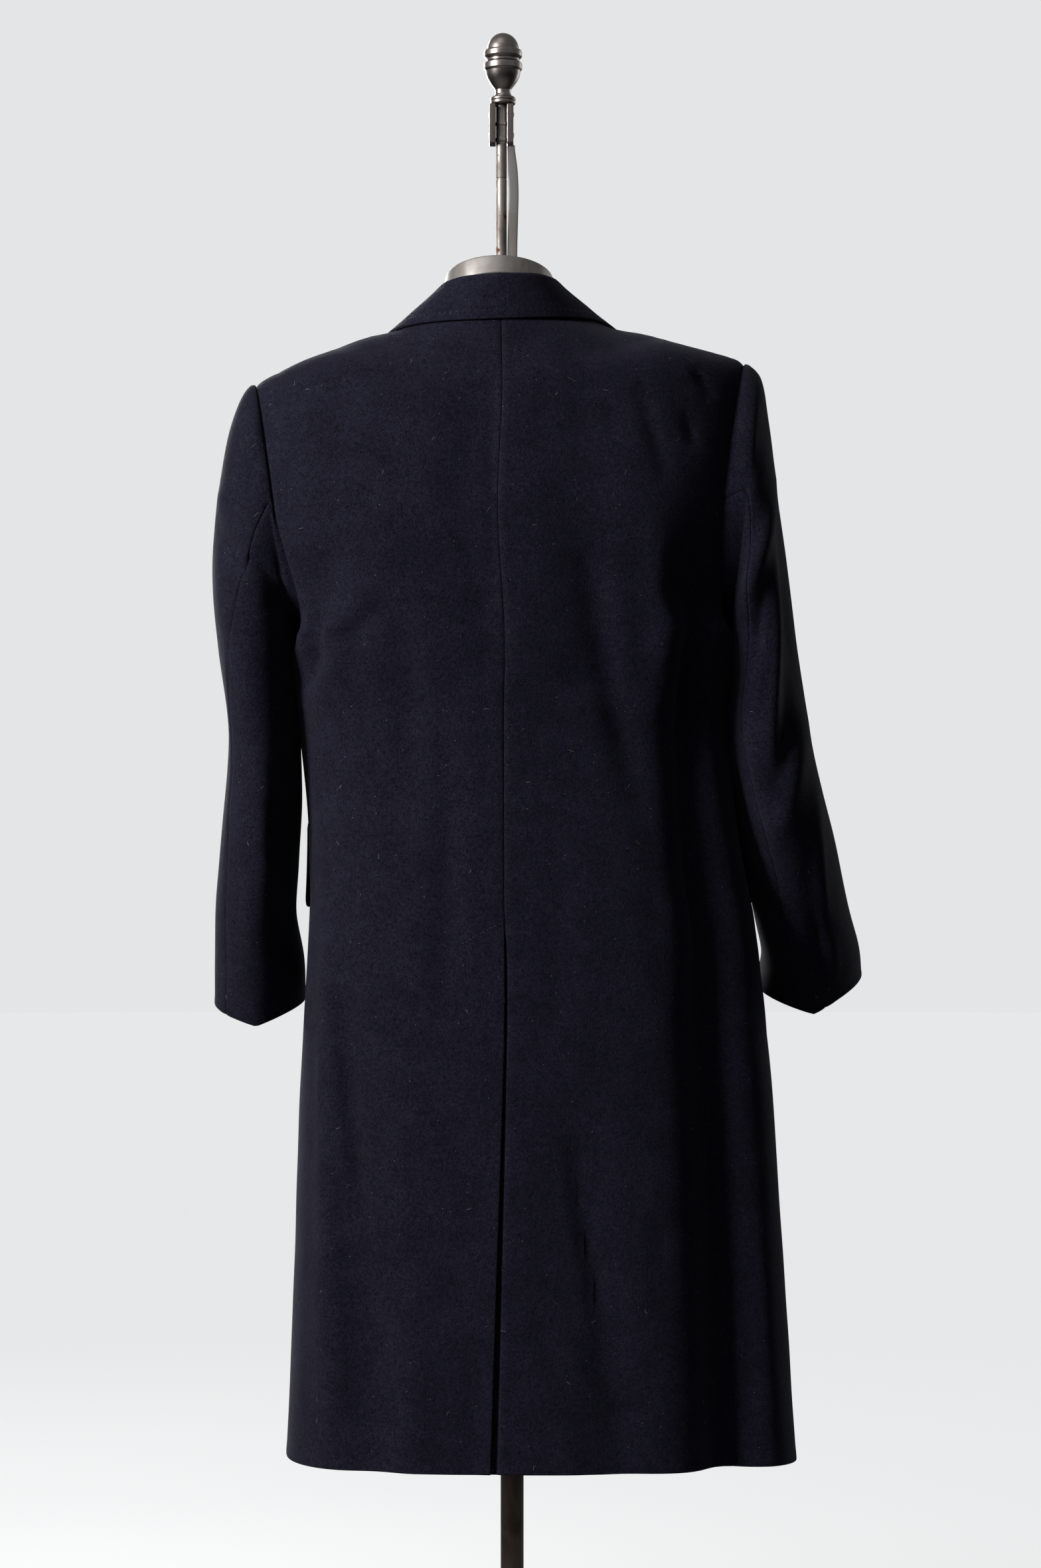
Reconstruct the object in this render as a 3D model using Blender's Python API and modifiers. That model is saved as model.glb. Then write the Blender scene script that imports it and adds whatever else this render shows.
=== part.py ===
"""Wool overcoat on a limbless dress form.

The coat is a set of cloth walls cut from one worn surface: two backs, two fronts, two-piece
sleeves, a collar, lapels, pocket flaps and buttons. It rests on the shoulders of a dress form
on a pole, with a metal neck cap, a rod and a turned finial.

Lengths are millimetres, turned into metres when a mesh is made. +Z is up, the front of the
coat faces -Y, the wearer's left is +X, and the origin is the middle of the base's underside.
Angles round the body run in degrees from the centre back towards the wearer's left.
"""

import math
from collections import namedtuple

import bmesh
import bpy
import numpy as np
from mathutils import Matrix, Vector

MM = 0.001

# ---------------------------------------------------------------- cloth
CLOTH = 2.0                 # wall of the melton, with what backs it
SEAM_GAP = 0.4              # between two pieces that are sewn together
REST_GAP = 0.9              # between two layers that lie on each other
LEAN_CENTRE = 12.0          # the upper coat leans about this x

Ring = namedtuple("Ring", "name z_back z_side z_front half_width depth_back depth_front "
                          "centre_x squareness seam_angle lean form_inset")
COAT_RINGS = (
    #    name            z_back z_side z_front half  back front centre square seam  lean   inset
    Ring("hem",             400,   400,   400,  242,  150,  152,   -26, 0.05,  9.0, 0.000, 60),
    Ring("knee",            600,   600,   600,  232,  143,  146,   -24, 0.05,  7.6, 0.000, 55),
    Ring("thigh",           800,   800,   800,  222,  134,  140,   -21, 0.04,  6.2, 0.000, 42),
    Ring("hip",             945,   945,   945,  206,  126,  134,   -12, 0.04,  4.6, 0.006, 27),
    Ring("waist",          1085,  1085,  1085,  200,  116,  126,    -3, 0.03,  2.7, 0.015, 22),
    Ring("underarm",       1186,  1186,  1180,  206,  126,  134,    -1, 0.04,  2.0, 0.022, 20),
    Ring("chest",          1298,  1302,  1285,  240,  130,  132,    12, 0.04,  0.3, 0.030, 15),
    Ring("shoulder_edge",  1398,  1431,  1363,  236,  114,  118,    12, 0.02, -0.6, 0.032, 5.5),
    Ring("mid_shoulder",   1445,  1458,  1402,  155,   98,   96,    12, 0.00, -0.9, 0.032, 4.0),
    Ring("neckline",       1486,  1491,  1435,   76,   80,   72,    12, 0.00, -1.2, 0.032, 4),
)
RING_NUMBER = {ring.name: number for number, ring in enumerate(COAT_RINGS)}
WAIST = RING_NUMBER["waist"]
UNDERARM = RING_NUMBER["underarm"]
CHEST = RING_NUMBER["chest"]
SHOULDER = RING_NUMBER["shoulder_edge"]
NECKLINE = RING_NUMBER["neckline"]

SIDE = 90.0                 # angle of the side and shoulder seams
ARMHOLE_BACK = 32.0         # how far the armhole cuts into the back, degrees
ARMHOLE_FRONT = 34.0
ARMHOLE_ROUNDNESS = 0.4

Fold = namedtuple("Fold", "name bottom top angle_bottom angle_top width depth_bottom depth_top")
COAT_FOLDS = (
    #    name                bottom  top  angles bottom, top  width  depth bottom, top
    Fold("right_flute",        -0.2, 6.3,     -42.0,  -50.0,   9.5,  -30.0,  -9.0),
    Fold("right_side_roll",    -0.2, 4.2,     -68.0,  -72.0,  12.0,    9.0,   2.0),
    Fold("right_back_trough",  -0.2, 2.0,     -17.0,   -6.0,   5.5,   -7.0,  -4.0),
    Fold("right_blade",         4.2, 7.4,     -17.0,  -16.0,   8.0,   -5.0,  -5.0),
    Fold("left_of_seam",        4.4, 7.6,       6.0,    4.5,   5.0,   -4.0,  -5.0),
    Fold("left_underarm",       4.3, 6.0,      66.0,   36.0,   8.0,   -6.0,  -5.0),
    Fold("left_ridge",          0.2, 3.0,      46.0,   61.0,   7.0,    9.0,   5.0),
    Fold("left_flute",         -0.2, 2.4,      33.0,   48.0,   8.0,   -9.0,  -3.0),
    Fold("left_front_flute",   -0.2, 3.2,     126.0,  118.0,   9.0,  -12.0,  -3.0),
    Fold("right_front_flute",  -0.2, 3.0,    -122.0, -114.0,  10.0,  -13.0,  -3.0),
)

# ---------------------------------------------------------------- sleeves
SleeveRing = namedtuple("SleeveRing", "inner_x inner_z outer_x outer_z centre_y depth tilt seam")
LEFT_SLEEVE = (
    #          inner_x inner_z outer_x outer_z centre_y depth  tilt  seam
    SleeveRing(209.0,  1183,   252,    1423,     -1,    156,  0.00,   90),
    SleeveRing(211.5,  1178,   262,    1404,     -1,    158,  0.00,   90),
    SleeveRing(211.5,  1168,   274,    1367,     -2,    160,  0.00,   93),
    SleeveRing(210.0,  1149,   283,    1312,     -3,    162,  0.00,   98),
    SleeveRing(208.0,  1122,   288,    1248,     -5,    162,  0.02,  110),
    SleeveRing(207.0,  1080,   282,    1172,     -8,    158,  0.05,  128),
    SleeveRing(206.0,  1025,   272,    1092,    -13,    152,  0.10,  140),
    SleeveRing(209.5,   965,   279,    1010,    -24,    146,  0.18,  138),
    SleeveRing(213.0,   915,   286,     935,    -42,    134,  0.28,  134),
    SleeveRing(206.0,   868,   289,     876,    -60,    122,  0.34,  132),
    SleeveRing(205.0,   828,   291,     828,    -75,    112,  0.37,  132),
)
RIGHT_SLEEVE = (
    SleeveRing(211.5,  1192,   229,    1438,     -1,    156,  0.00,   90),
    SleeveRing(214.0,  1187,   239,    1425,     -1,    158,  0.00,   88),
    SleeveRing(214.0,  1176,   246,    1384,     -2,    160,  0.00,   82),
    SleeveRing(212.5,  1155,   254,    1318,     -3,    162,  0.00,   72),
    SleeveRing(210.0,  1122,   264,    1252,     -5,    162,  0.02,   60),
    SleeveRing(207.5,  1080,   274,    1172,     -8,    158,  0.05,   52),
    SleeveRing(215.0,  1025,   288,    1080,    -13,    152,  0.10,   58),
    SleeveRing(226.0,   965,   308,    1000,    -26,    146,  0.18,   66),
    SleeveRing(239.0,   912,   325,     925,    -46,    136,  0.30,   67),
    SleeveRing(246.0,   876,   337,     880,    -62,    124,  0.42,   80),
    SleeveRing(242.0,   846,   341,     848,    -76,    114,  0.52,  103),
)
SLEEVE_START = 0.6          # the sleeve begins this far from the armhole's edge
SLEEVE_SEAM_GAP = 1.3       # degrees between the upper and under sleeve
ARMHOLE_STEP = 18.0         # degrees round the armhole from one row to the next
SLEEVE_FRONT_SEAM = -3      # the seams lie on these rows of the armhole
SLEEVE_BACK_SEAM = 5
SLEEVE_ROUND = 20

# ---------------------------------------------------------------- backs, fronts and vent
SKIRT_ROWS = (0.0, 0.4, 0.8, 1.2, 1.6, 2.0, 2.35, 2.62, 2.75, 3.0, 3.5, 4.0, 4.5)
YOKE_ROWS = (7.28, 7.55, 7.85, 8.15, 8.45, 8.75, 9.0)
VENT_TOP = 2.75
VENT_GAP = (1.0, 9.0)       # between the upper edge and the lower crease, at its top and at the hem
VENT_DIP = 4.0              # width over which the underlap steps in behind the left back
VENT_UNDERLAP = 42.0
VENT_DEPTH = CLOTH + 1.3
BACK_COLUMNS = 11

BREAK = 5.45                # the lapels roll from here up
FRONT_LAP = 36.0            # each front runs this far past the centre front
LAP_RISE = CLOTH + 1.8
LAP_RAMP = 16.0             # width over which the left front climbs onto the right one
LAP_ZONE = 2 * FRONT_LAP + 10.0
LAP_FADE = (5.72, 6.6)      # above the lap the left front sinks back to the coat's surface
FRONT_COLUMNS = 8           # from the side to the lap, which has three more

RollPoint = namedtuple("RollPoint", "height angle")
ROLL_LINE = (
    RollPoint(5.72, 180.0), RollPoint(6.0, 177.5), RollPoint(6.5, 175.0), RollPoint(7.0, 171.5),
    RollPoint(7.5, 167.0), RollPoint(8.0, 161.0), RollPoint(8.4, 153.0), RollPoint(8.75, 140.0),
    RollPoint(9.0, 122.0),
)

LapelRow = namedtuple("LapelRow", "height width")
LAPEL_SHAPE = (
    LapelRow(5.41, 4), LapelRow(5.8, 36), LapelRow(6.3, 68), LapelRow(6.9, 92),
    LapelRow(7.4, 98), LapelRow(7.8, 88),
)
LAPEL_TOP = 7.78
LEFT_LAPEL_START = 5.47
RIGHT_LAPEL_START = 5.80    # it comes out from under the left front here
LAPEL_COLUMNS = 6
LAPEL_GAP = 1.0
LAPEL_ROLL = 2.5            # how far the lapel's middle stands off the front

# ---------------------------------------------------------------- collar
CollarColumn = namedtuple("CollarColumn", "foot_height foot_angle fold_out fold_up edge_height edge_angle")
COLLAR_COLUMNS = (
    #            foot height, angle  fold out, up  edge height, angle
    CollarColumn(9.00,   0,          -5.0, 35.0,   8.78,   0),
    CollarColumn(9.00,  30,          -6.5, 33.0,   8.76,  30),
    CollarColumn(9.00,  60,         -13.0, 27.5,   8.70,  59),
    CollarColumn(9.00,  90,         -17.5, 22.0,   8.60,  88),
    CollarColumn(9.00, 108,         -15.0, 16.0,   8.32, 107),
    CollarColumn(8.98, 122,          -9.0, 12.0,   8.06, 122),
    CollarColumn(8.75, 139,          -3.5,  9.0,   7.94, 134),
    CollarColumn(8.40, 152,          -0.5,  7.0,   7.92, 145),
    CollarColumn(8.06, 159,           0.0,  6.0,   7.90, 155),
)
COLLAR_COLUMN_STEPS = 2     # columns between one row of the table and the next
COLLAR_FOLD_RADIUS = 2.6
COLLAR_FOOT_GAP = 1.3
COLLAR_BULGE = 1.2

# ---------------------------------------------------------------- flaps and buttons
FLAP_HEIGHT = (2.84, 3.42)  # rings
FLAP_ANGLES = (95.0, 139.0)
FLAP_FLARE = 3.0
FLAP_RISE = CLOTH + REST_GAP
BUTTON_DIAMETER = 30.0
BUTTON_THICKNESS = 4.0
Button = namedtuple("Button", "height gap")
BUTTONS = (Button(5.22, 0.6), Button(4.42, 1.4), Button(3.62, 0.9))

# ---------------------------------------------------------------- dress form
FORM_BOTTOM = 2.35          # rings
FORM_COLUMNS = 32
ARM_PLATE_X = 188.0         # half width between the flat arm plates
SHOULDER_CAP = 20.0         # the form's shoulders reach this far past the plates
NECK_CENTRE = (12.7, 6.0)
NECK_RINGS = ((54.0, 26.0), (50.0, 12.0), (50.0, 0.0))     # radius, depth below the cap
NECK_TILT = math.radians(18.0)
CAP_RADIUS = 52.5
CAP_HEIGHT = 20.0
CAP_TOP_Z = 1528.0
CONTACT_GAP = 0.3

# ---------------------------------------------------------------- stand and handle
POLE_DIAMETER = 22.0
BASE_RADIUS = 190.0
BASE_EDGE = 12.0
BASE_CROWN = 26.0
BOSS_RADIUS = 30.0
BOSS_TOP = 62.0
ROD_X = 10.5
ROD_Y = 6.0
ROD_DIAMETER = 10.4
PLATE_BOTTOM_Z = 1660.0
PLATE_TOP_Z = 1698.2
PLATE_THICKNESS = 6.2
PLATE_DEPTH = 20.0
WASHER_BOTTOM_Z = 1698.5
WASHER_THICKNESS = 8.0
WASHER_DIAMETER = 24.8
FINIAL_X = 9.0
STRAP_WIDTH = 9.6
STRAP_THICKNESS = 2.5


# ================================================================ surface of the coat
def catmull_rom(rows, position):
    """Read a smooth curve through rows (one per whole number) at each position."""
    rows = np.asarray(rows, float)
    position = np.clip(np.asarray(position, float), 0.0, len(rows) - 1.0)
    start = np.minimum(position.astype(int), len(rows) - 2)
    part = position - start
    before = np.where(start > 0, start - 1, start)
    after = np.where(start + 2 < len(rows), start + 2, start + 1)
    if rows.ndim > 1:
        part = part[..., None]
    left, right = rows[start], rows[start + 1]
    slope_left = (right - rows[before]) / np.where((start > 0)[..., None] if rows.ndim > 1
                                                   else start > 0, 2.0, 1.0)
    has_after = start + 2 < len(rows)
    slope_right = (rows[after] - left) / np.where(has_after[..., None] if rows.ndim > 1
                                                  else has_after, 2.0, 1.0)
    square, cube = part ** 2, part ** 3
    return ((2 * cube - 3 * square + 1) * left + (cube - 2 * square + part) * slope_left
            + (3 * square - 2 * cube) * right + (cube - square) * slope_right)


RING_COLUMNS = {name: np.array([getattr(ring, name) for ring in COAT_RINGS], float)
                for name in Ring._fields if name != "name"}


def ring_value(name, height):
    return catmull_rom(RING_COLUMNS[name], height)


def fold_depth(height, angle):
    """How far the folds move the cloth outwards."""
    total = np.zeros(np.broadcast(height, angle).shape)
    for fold in COAT_FOLDS:
        part = np.clip((height - fold.bottom) / (fold.top - fold.bottom), 0.0, 1.0)
        centre = fold.angle_bottom + (fold.angle_top - fold.angle_bottom) * part
        depth = fold.depth_bottom + (fold.depth_top - fold.depth_bottom) * part
        fade = np.clip((1.0 - part) * 4.0, 0.0, 1.0)
        fade = fade * np.clip((height - fold.bottom) * 5.0, 0.0, 1.0)
        total = total + depth * fade * np.exp(-((angle - centre) / fold.width) ** 2)
    return total


def coat_point(height, angle, folded=True):
    """Point on the outer side of the coat, at a height in rings and an angle in degrees."""
    height, angle = np.broadcast_arrays(np.asarray(height, float), np.asarray(angle, float))
    turn = np.radians(angle)
    square = ring_value("squareness", height)
    across = (np.sin(turn) + square * np.sin(3 * turn)) / (1 - square)
    along = (np.cos(turn) - square * np.cos(3 * turn)) / (1 - square)
    half_width = ring_value("half_width", height)
    at_back = np.cos(turn) > 0
    depth = np.where(at_back, ring_value("depth_back", height), ring_value("depth_front", height))
    z_end = np.where(at_back, ring_value("z_back", height), ring_value("z_front", height))
    z_side = ring_value("z_side", height)
    out_x, out_y = depth * across, half_width * along
    if folded:
        move = fold_depth(height, angle) / np.hypot(out_x, out_y)
        out_x, out_y = out_x * move, out_y * move
    else:
        out_x, out_y = 0.0, 0.0
    x = ring_value("centre_x", height) + half_width * across + out_x
    y = depth * along + out_y
    z = z_side + (z_end - z_side) * np.cos(turn) ** 2
    z = z - ring_value("lean", height) * (x - LEAN_CENTRE)
    return np.stack([x, y, z], axis=-1)


def unit(vectors):
    return vectors / np.linalg.norm(vectors, axis=-1, keepdims=True)


def coat_normal(height, angle, folded=True):
    """Outward normal of the coat's surface."""
    height, angle = np.broadcast_arrays(np.asarray(height, float), np.asarray(angle, float))
    low, high = np.clip(height - 0.02, 0, NECKLINE), np.clip(height + 0.02, 0, NECKLINE)
    up = coat_point(high, angle, folded) - coat_point(low, angle, folded)
    around = coat_point(height, angle + 0.5, folded) - coat_point(height, angle - 0.5, folded)
    return unit(np.cross(up, around))


def layer(height, angle, rise):
    """Outer and inner points of a cloth wall whose outer side is rise above the coat's."""
    points = coat_point(height, angle)
    normal = coat_normal(height, angle)
    rise = np.asarray(rise, float)[..., None] if np.ndim(rise) else rise
    return points + normal * rise, points + normal * (rise - CLOTH)


def degrees_across(width, height):
    """Angle of a width on the flat of the back or front, where the rings run along x."""
    square = ring_value("squareness", height)
    return np.degrees(width * (1 - square) / (ring_value("half_width", height) * (1 + 3 * square)))


def degrees_at_side(width, height):
    square = ring_value("squareness", height)
    return np.degrees(width * (1 - square) / (ring_value("depth_back", height) * (1 + 3 * square)))


# ================================================================ scene helpers
def clear_scene():
    for item in list(bpy.data.objects):
        bpy.data.objects.remove(item)


def new_material(name, colour, roughness, metallic=0.0):
    material = bpy.data.materials.new(name)
    material.use_nodes = True
    surface = material.node_tree.nodes["Principled BSDF"]
    surface.inputs["Base Color"].default_value = (*colour, 1.0)
    surface.inputs["Roughness"].default_value = roughness
    surface.inputs["Metallic"].default_value = metallic
    material.diffuse_color = (*colour, 1.0)
    return material


def add_object(name, mesh, material, smooth_angle=None):
    mesh.materials.clear()
    mesh.materials.append(material)
    if smooth_angle is not None:
        mesh.shade_smooth()
        mesh.set_sharp_from_angle(angle=math.radians(smooth_angle))
    item = bpy.data.objects.new(name, mesh)
    bpy.data.collections[COLLECTION].objects.link(item)
    return item


def cloth_wall(name, outer, inner, material, keep=None):
    """Closed wall between two grids of points; keep says which cells are cloth."""
    rows, columns = outer.shape[:2]
    if keep is None:
        keep = np.ones((rows - 1, columns - 1), bool)
    size = rows * columns
    points = np.concatenate([outer.reshape(-1, 3), inner.reshape(-1, 3)]) * MM

    def cell(row, column):
        inside = 0 <= row < rows - 1 and 0 <= column < columns - 1
        return bool(inside and keep[row, column])

    faces = []
    for row in range(rows - 1):
        for column in range(columns - 1):
            if not cell(row, column):
                continue
            corner = row * columns + column
            a, b, c, d = corner, corner + 1, corner + columns + 1, corner + columns
            faces.append((a, b, c, d))
            faces.append((d + size, c + size, b + size, a + size))
            edges = ((a, b, cell(row - 1, column)), (b, c, cell(row, column + 1)),
                     (c, d, cell(row + 1, column)), (d, a, cell(row, column - 1)))
            for start, end, joined in edges:
                if not joined:
                    faces.append((end, start, start + size, end + size))
    mesh = bpy.data.meshes.new(name)
    mesh.from_pydata(points.tolist(), [], faces)
    shape = bmesh.new()
    shape.from_mesh(mesh)
    loose = [point for point in shape.verts if not point.link_faces]
    bmesh.ops.delete(shape, geom=loose, context="VERTS")
    bmesh.ops.recalc_face_normals(shape, faces=shape.faces)
    shape.to_mesh(mesh)
    shape.free()
    return add_object(name, mesh, material, smooth_angle=50.0)


def turned(name, profile, material, location, steps=32, rotation=None):
    """Solid of revolution; the profile runs down its outer side from the top of the axis."""
    mesh = bpy.data.meshes.new(name)
    points = [(radius * MM, 0.0, height * MM) for radius, height in profile]
    mesh.from_pydata(points, [(i, i + 1) for i in range(len(points) - 1)], [])
    item = add_object(name, mesh, material)
    screw = item.modifiers.new("turn", "SCREW")
    screw.steps = screw.render_steps = steps
    screw.use_merge_vertices = True
    screw.merge_threshold = 0.00001
    screw.use_smooth_shade = True
    item.location = Vector(location) * MM
    if rotation:
        item.rotation_euler = rotation
    return item


# ================================================================ coat
def armhole_cut(height):
    """0 to 1: how deep the armhole cuts in at each height."""
    return np.clip(1.0 - (height - CHEST) ** 2, 0.0, 1.0) ** ARMHOLE_ROUNDNESS


def armhole_rows():
    turns = np.radians(np.arange(0.0, 180.1, ARMHOLE_STEP))
    return CHEST - np.cos(turns)


def panel_rows():
    return np.concatenate([SKIRT_ROWS, armhole_rows(), YOKE_ROWS])


def back_edge(height):
    """Angle of the back's edge at the side seam, armhole and shoulder seam."""
    return SIDE - ARMHOLE_BACK * armhole_cut(height) - degrees_at_side(SEAM_GAP / 2, height)


def front_edge(height):
    return SIDE + ARMHOLE_FRONT * armhole_cut(height) + degrees_at_side(SEAM_GAP / 2, height)


def build_back_left(material):
    height = panel_rows()[:, None]
    part = np.linspace(0.0, 1.0, BACK_COLUMNS + 1)[None, :]
    start = ring_value("seam_angle", height) + degrees_across(SEAM_GAP / 2, height)
    angle = start + (back_edge(height) - start) * part
    outer, inner = layer(height, angle, 0.0)
    cloth_wall("back_left", outer, inner, material)


def build_back_right(material):
    """The right back ends at the centre seam; below the vent's top it steps in behind the left."""
    height = panel_rows()[:, None]
    in_vent = height <= VENT_TOP
    down = np.clip((VENT_TOP - height) / VENT_TOP, 0.0, 1.0)
    crease = VENT_GAP[0] + (VENT_GAP[1] - VENT_GAP[0]) * down
    seam = ring_value("seam_angle", height)
    end = seam - degrees_across(np.where(in_vent, crease + VENT_DIP * (1 - down), SEAM_GAP / 2), height)
    part = np.linspace(0.0, 1.0, BACK_COLUMNS + 1)[None, :]
    angle = -back_edge(height) + (end + back_edge(height)) * part
    rise = np.zeros(angle.shape)
    steps = (VENT_DIP, VENT_DIP + VENT_UNDERLAP / 2, VENT_DIP + VENT_UNDERLAP)
    lap_angle = np.concatenate([end + degrees_across(step, height) for step in steps], axis=1)
    angle = np.concatenate([angle, lap_angle], axis=1)
    rise = np.concatenate([rise, np.full(lap_angle.shape, -VENT_DEPTH)], axis=1)
    outer, inner = layer(np.broadcast_to(height, angle.shape), angle, rise)
    keep = np.ones((len(height) - 1, angle.shape[1] - 1), bool)
    keep[height[1:, 0] > VENT_TOP, BACK_COLUMNS:] = False
    cloth_wall("back_right", outer, inner, material, keep)


def roll_angle(height):
    """Angle of the front's free edge: the lap below the break, the roll line above it."""
    lap = 180.0 + degrees_across(FRONT_LAP, height)
    lap_at_break = 180.0 + degrees_across(FRONT_LAP, BREAK)
    rolled = np.interp(height, [BREAK] + [point.height for point in ROLL_LINE],
                       [lap_at_break] + [point.angle for point in ROLL_LINE])
    return np.where(height > BREAK, rolled, lap)


def front_rise(height, angle, overlapping):
    """The left front lies on the right one where they lap."""
    if not overlapping:
        return np.zeros(np.broadcast(height, angle).shape)
    start = roll_angle(height) - degrees_across(LAP_ZONE + LAP_RAMP, height)
    part = np.clip((angle - start) / degrees_across(LAP_RAMP, height), 0.0, 1.0)
    fade = np.clip((LAP_FADE[1] - height) / (LAP_FADE[1] - LAP_FADE[0]), 0.0, 1.0)
    return LAP_RISE * part * fade


def build_front(name, side, material):
    height = panel_rows()[:, None]
    start, end = front_edge(height), roll_angle(height)
    lap_start = np.maximum(end - degrees_across(LAP_ZONE + LAP_RAMP, height), start + 0.5 * (end - start))
    lap_full = lap_start + np.minimum(degrees_across(LAP_RAMP, height), 0.2 * (end - lap_start))
    part = np.linspace(0.0, 1.0, FRONT_COLUMNS + 1)[None, :]
    lap_part = np.linspace(0.0, 1.0, 3)[None, :]
    angle = np.concatenate([start + (lap_start - start) * part, lap_full + (end - lap_full) * lap_part],
                           axis=1)
    rise = front_rise(height, angle, overlapping=side > 0)
    outer, inner = layer(height, angle * side, rise)
    cloth_wall(name, outer, inner, material)


def sleeve_ring_points(side, table, turn):
    """Points at each angle of turn (0 under the arm, 90 behind, 180 on top) on every ring."""
    turn = np.asarray(turn, float)
    bend = np.radians(turn)
    behind = np.sin(bend) >= 0
    height = CHEST - np.cos(bend)
    cut = armhole_cut(height)
    angle = np.where(behind, SIDE - ARMHOLE_BACK * cut, SIDE + ARMHOLE_FRONT * cut)
    armhole = coat_point(height, side * angle)
    rings = []
    for row in table:
        part = (1 - np.cos(bend)) / 2
        x = row.inner_x + (row.outer_x - row.inner_x) * part
        y = row.centre_y + row.depth / 2 * np.sign(np.sin(bend)) * np.abs(np.sin(bend)) ** 0.9
        z = row.inner_z + (row.outer_z - row.inner_z) * part - row.tilt * (y - row.centre_y)
        rings.append(np.stack([x * side, y, z], axis=-1))
    armhole = armhole + unit(rings[0] - armhole) * SLEEVE_START
    return np.stack([armhole] + rings)


def sleeve_point(side, table, along, turn):
    """Point on the sleeve's outer side; along counts rings from the armhole."""
    along, turn = np.broadcast_arrays(np.asarray(along, float), np.asarray(turn, float))
    rings = sleeve_ring_points(side, table, turn.ravel())
    along_flat = along.ravel()
    last = len(rings) - 1
    start = np.clip(along_flat.astype(int), 0, last - 1)
    part = (along_flat - start)[:, None]
    column = np.arange(len(along_flat))
    left, right = rings[start, column], rings[start + 1, column]
    before = rings[np.maximum(start - 1, 0), column]
    after = rings[np.minimum(start + 2, last), column]
    slope_left = (right - before) / np.where(start > 0, 2.0, 1.0)[:, None]
    slope_right = (after - left) / np.where(start + 2 <= last, 2.0, 1.0)[:, None]
    square, cube = part ** 2, part ** 3
    points = ((2 * cube - 3 * square + 1) * left + (cube - 2 * square + part) * slope_left
              + (3 * square - 2 * cube) * right + (cube - square) * slope_right)
    return points.reshape(along.shape + (3,))


def sleeve_normal(side, table, along, turn):
    last = len(table)
    low, high = np.clip(along - 0.02, 0, last), np.clip(along + 0.02, 0, last)
    down = sleeve_point(side, table, high, turn) - sleeve_point(side, table, low, turn)
    around = sleeve_point(side, table, along, turn + 1.0) - sleeve_point(side, table, along, turn - 1.0)
    return unit(np.cross(around, down)) * -side


def build_sleeve(side_name, side, table, material):
    along = np.concatenate([[0.0, 0.5], np.arange(1.0, len(table) + 0.1)])[:, None]
    seam_columns = [ARMHOLE_STEP * SLEEVE_BACK_SEAM, ARMHOLE_STEP * SLEEVE_BACK_SEAM]
    seam_columns += [row.seam for row in table[1:]]
    seam = catmull_rom(np.array(seam_columns, float), along)
    front_seam = ARMHOLE_STEP * SLEEVE_FRONT_SEAM
    gap = SLEEVE_SEAM_GAP / 2
    pieces = (
        ("under_sleeve_", front_seam, seam, SLEEVE_BACK_SEAM - SLEEVE_FRONT_SEAM),
        ("upper_sleeve_", seam, front_seam + 360.0, SLEEVE_ROUND - SLEEVE_BACK_SEAM + SLEEVE_FRONT_SEAM),
    )
    for prefix, start, end, columns in pieces:
        part = np.linspace(0.0, 1.0, columns + 1)[None, :]
        turn = (start + gap) + (end - start - 2 * gap) * part
        along_grid = np.broadcast_to(along, turn.shape)
        points = sleeve_point(side, table, along_grid, turn)
        normal = sleeve_normal(side, table, along_grid, turn)
        cloth_wall(prefix + side_name, points, points - normal * CLOTH, material)


def build_lapel(name, side, start, material):
    """The front's turned-back edge, lying on the front from the break to the gorge."""
    rows = panel_rows()
    rows = rows[(rows > start + 0.02) & (rows < LAPEL_TOP - 0.05)]
    height = np.concatenate([[start], rows, [LAPEL_TOP]])[:, None]
    width = np.interp(height, [row.height for row in LAPEL_SHAPE], [row.width for row in LAPEL_SHAPE])
    roll = roll_angle(height) - degrees_across(0.5, height)
    part = np.linspace(0.0, 1.0, LAPEL_COLUMNS + 1)[None, :]
    angle = roll - degrees_across(width, height) * part
    base = front_rise(height, angle, overlapping=side > 0)
    roll_lift = LAPEL_ROLL * np.sin(np.pi * part) * np.minimum(width / 40.0, 1.0)
    outer, inner = layer(np.broadcast_to(height, angle.shape), angle * side,
                         base + CLOTH + LAPEL_GAP + roll_lift)
    cloth_wall(name, outer, inner, material)


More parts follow.
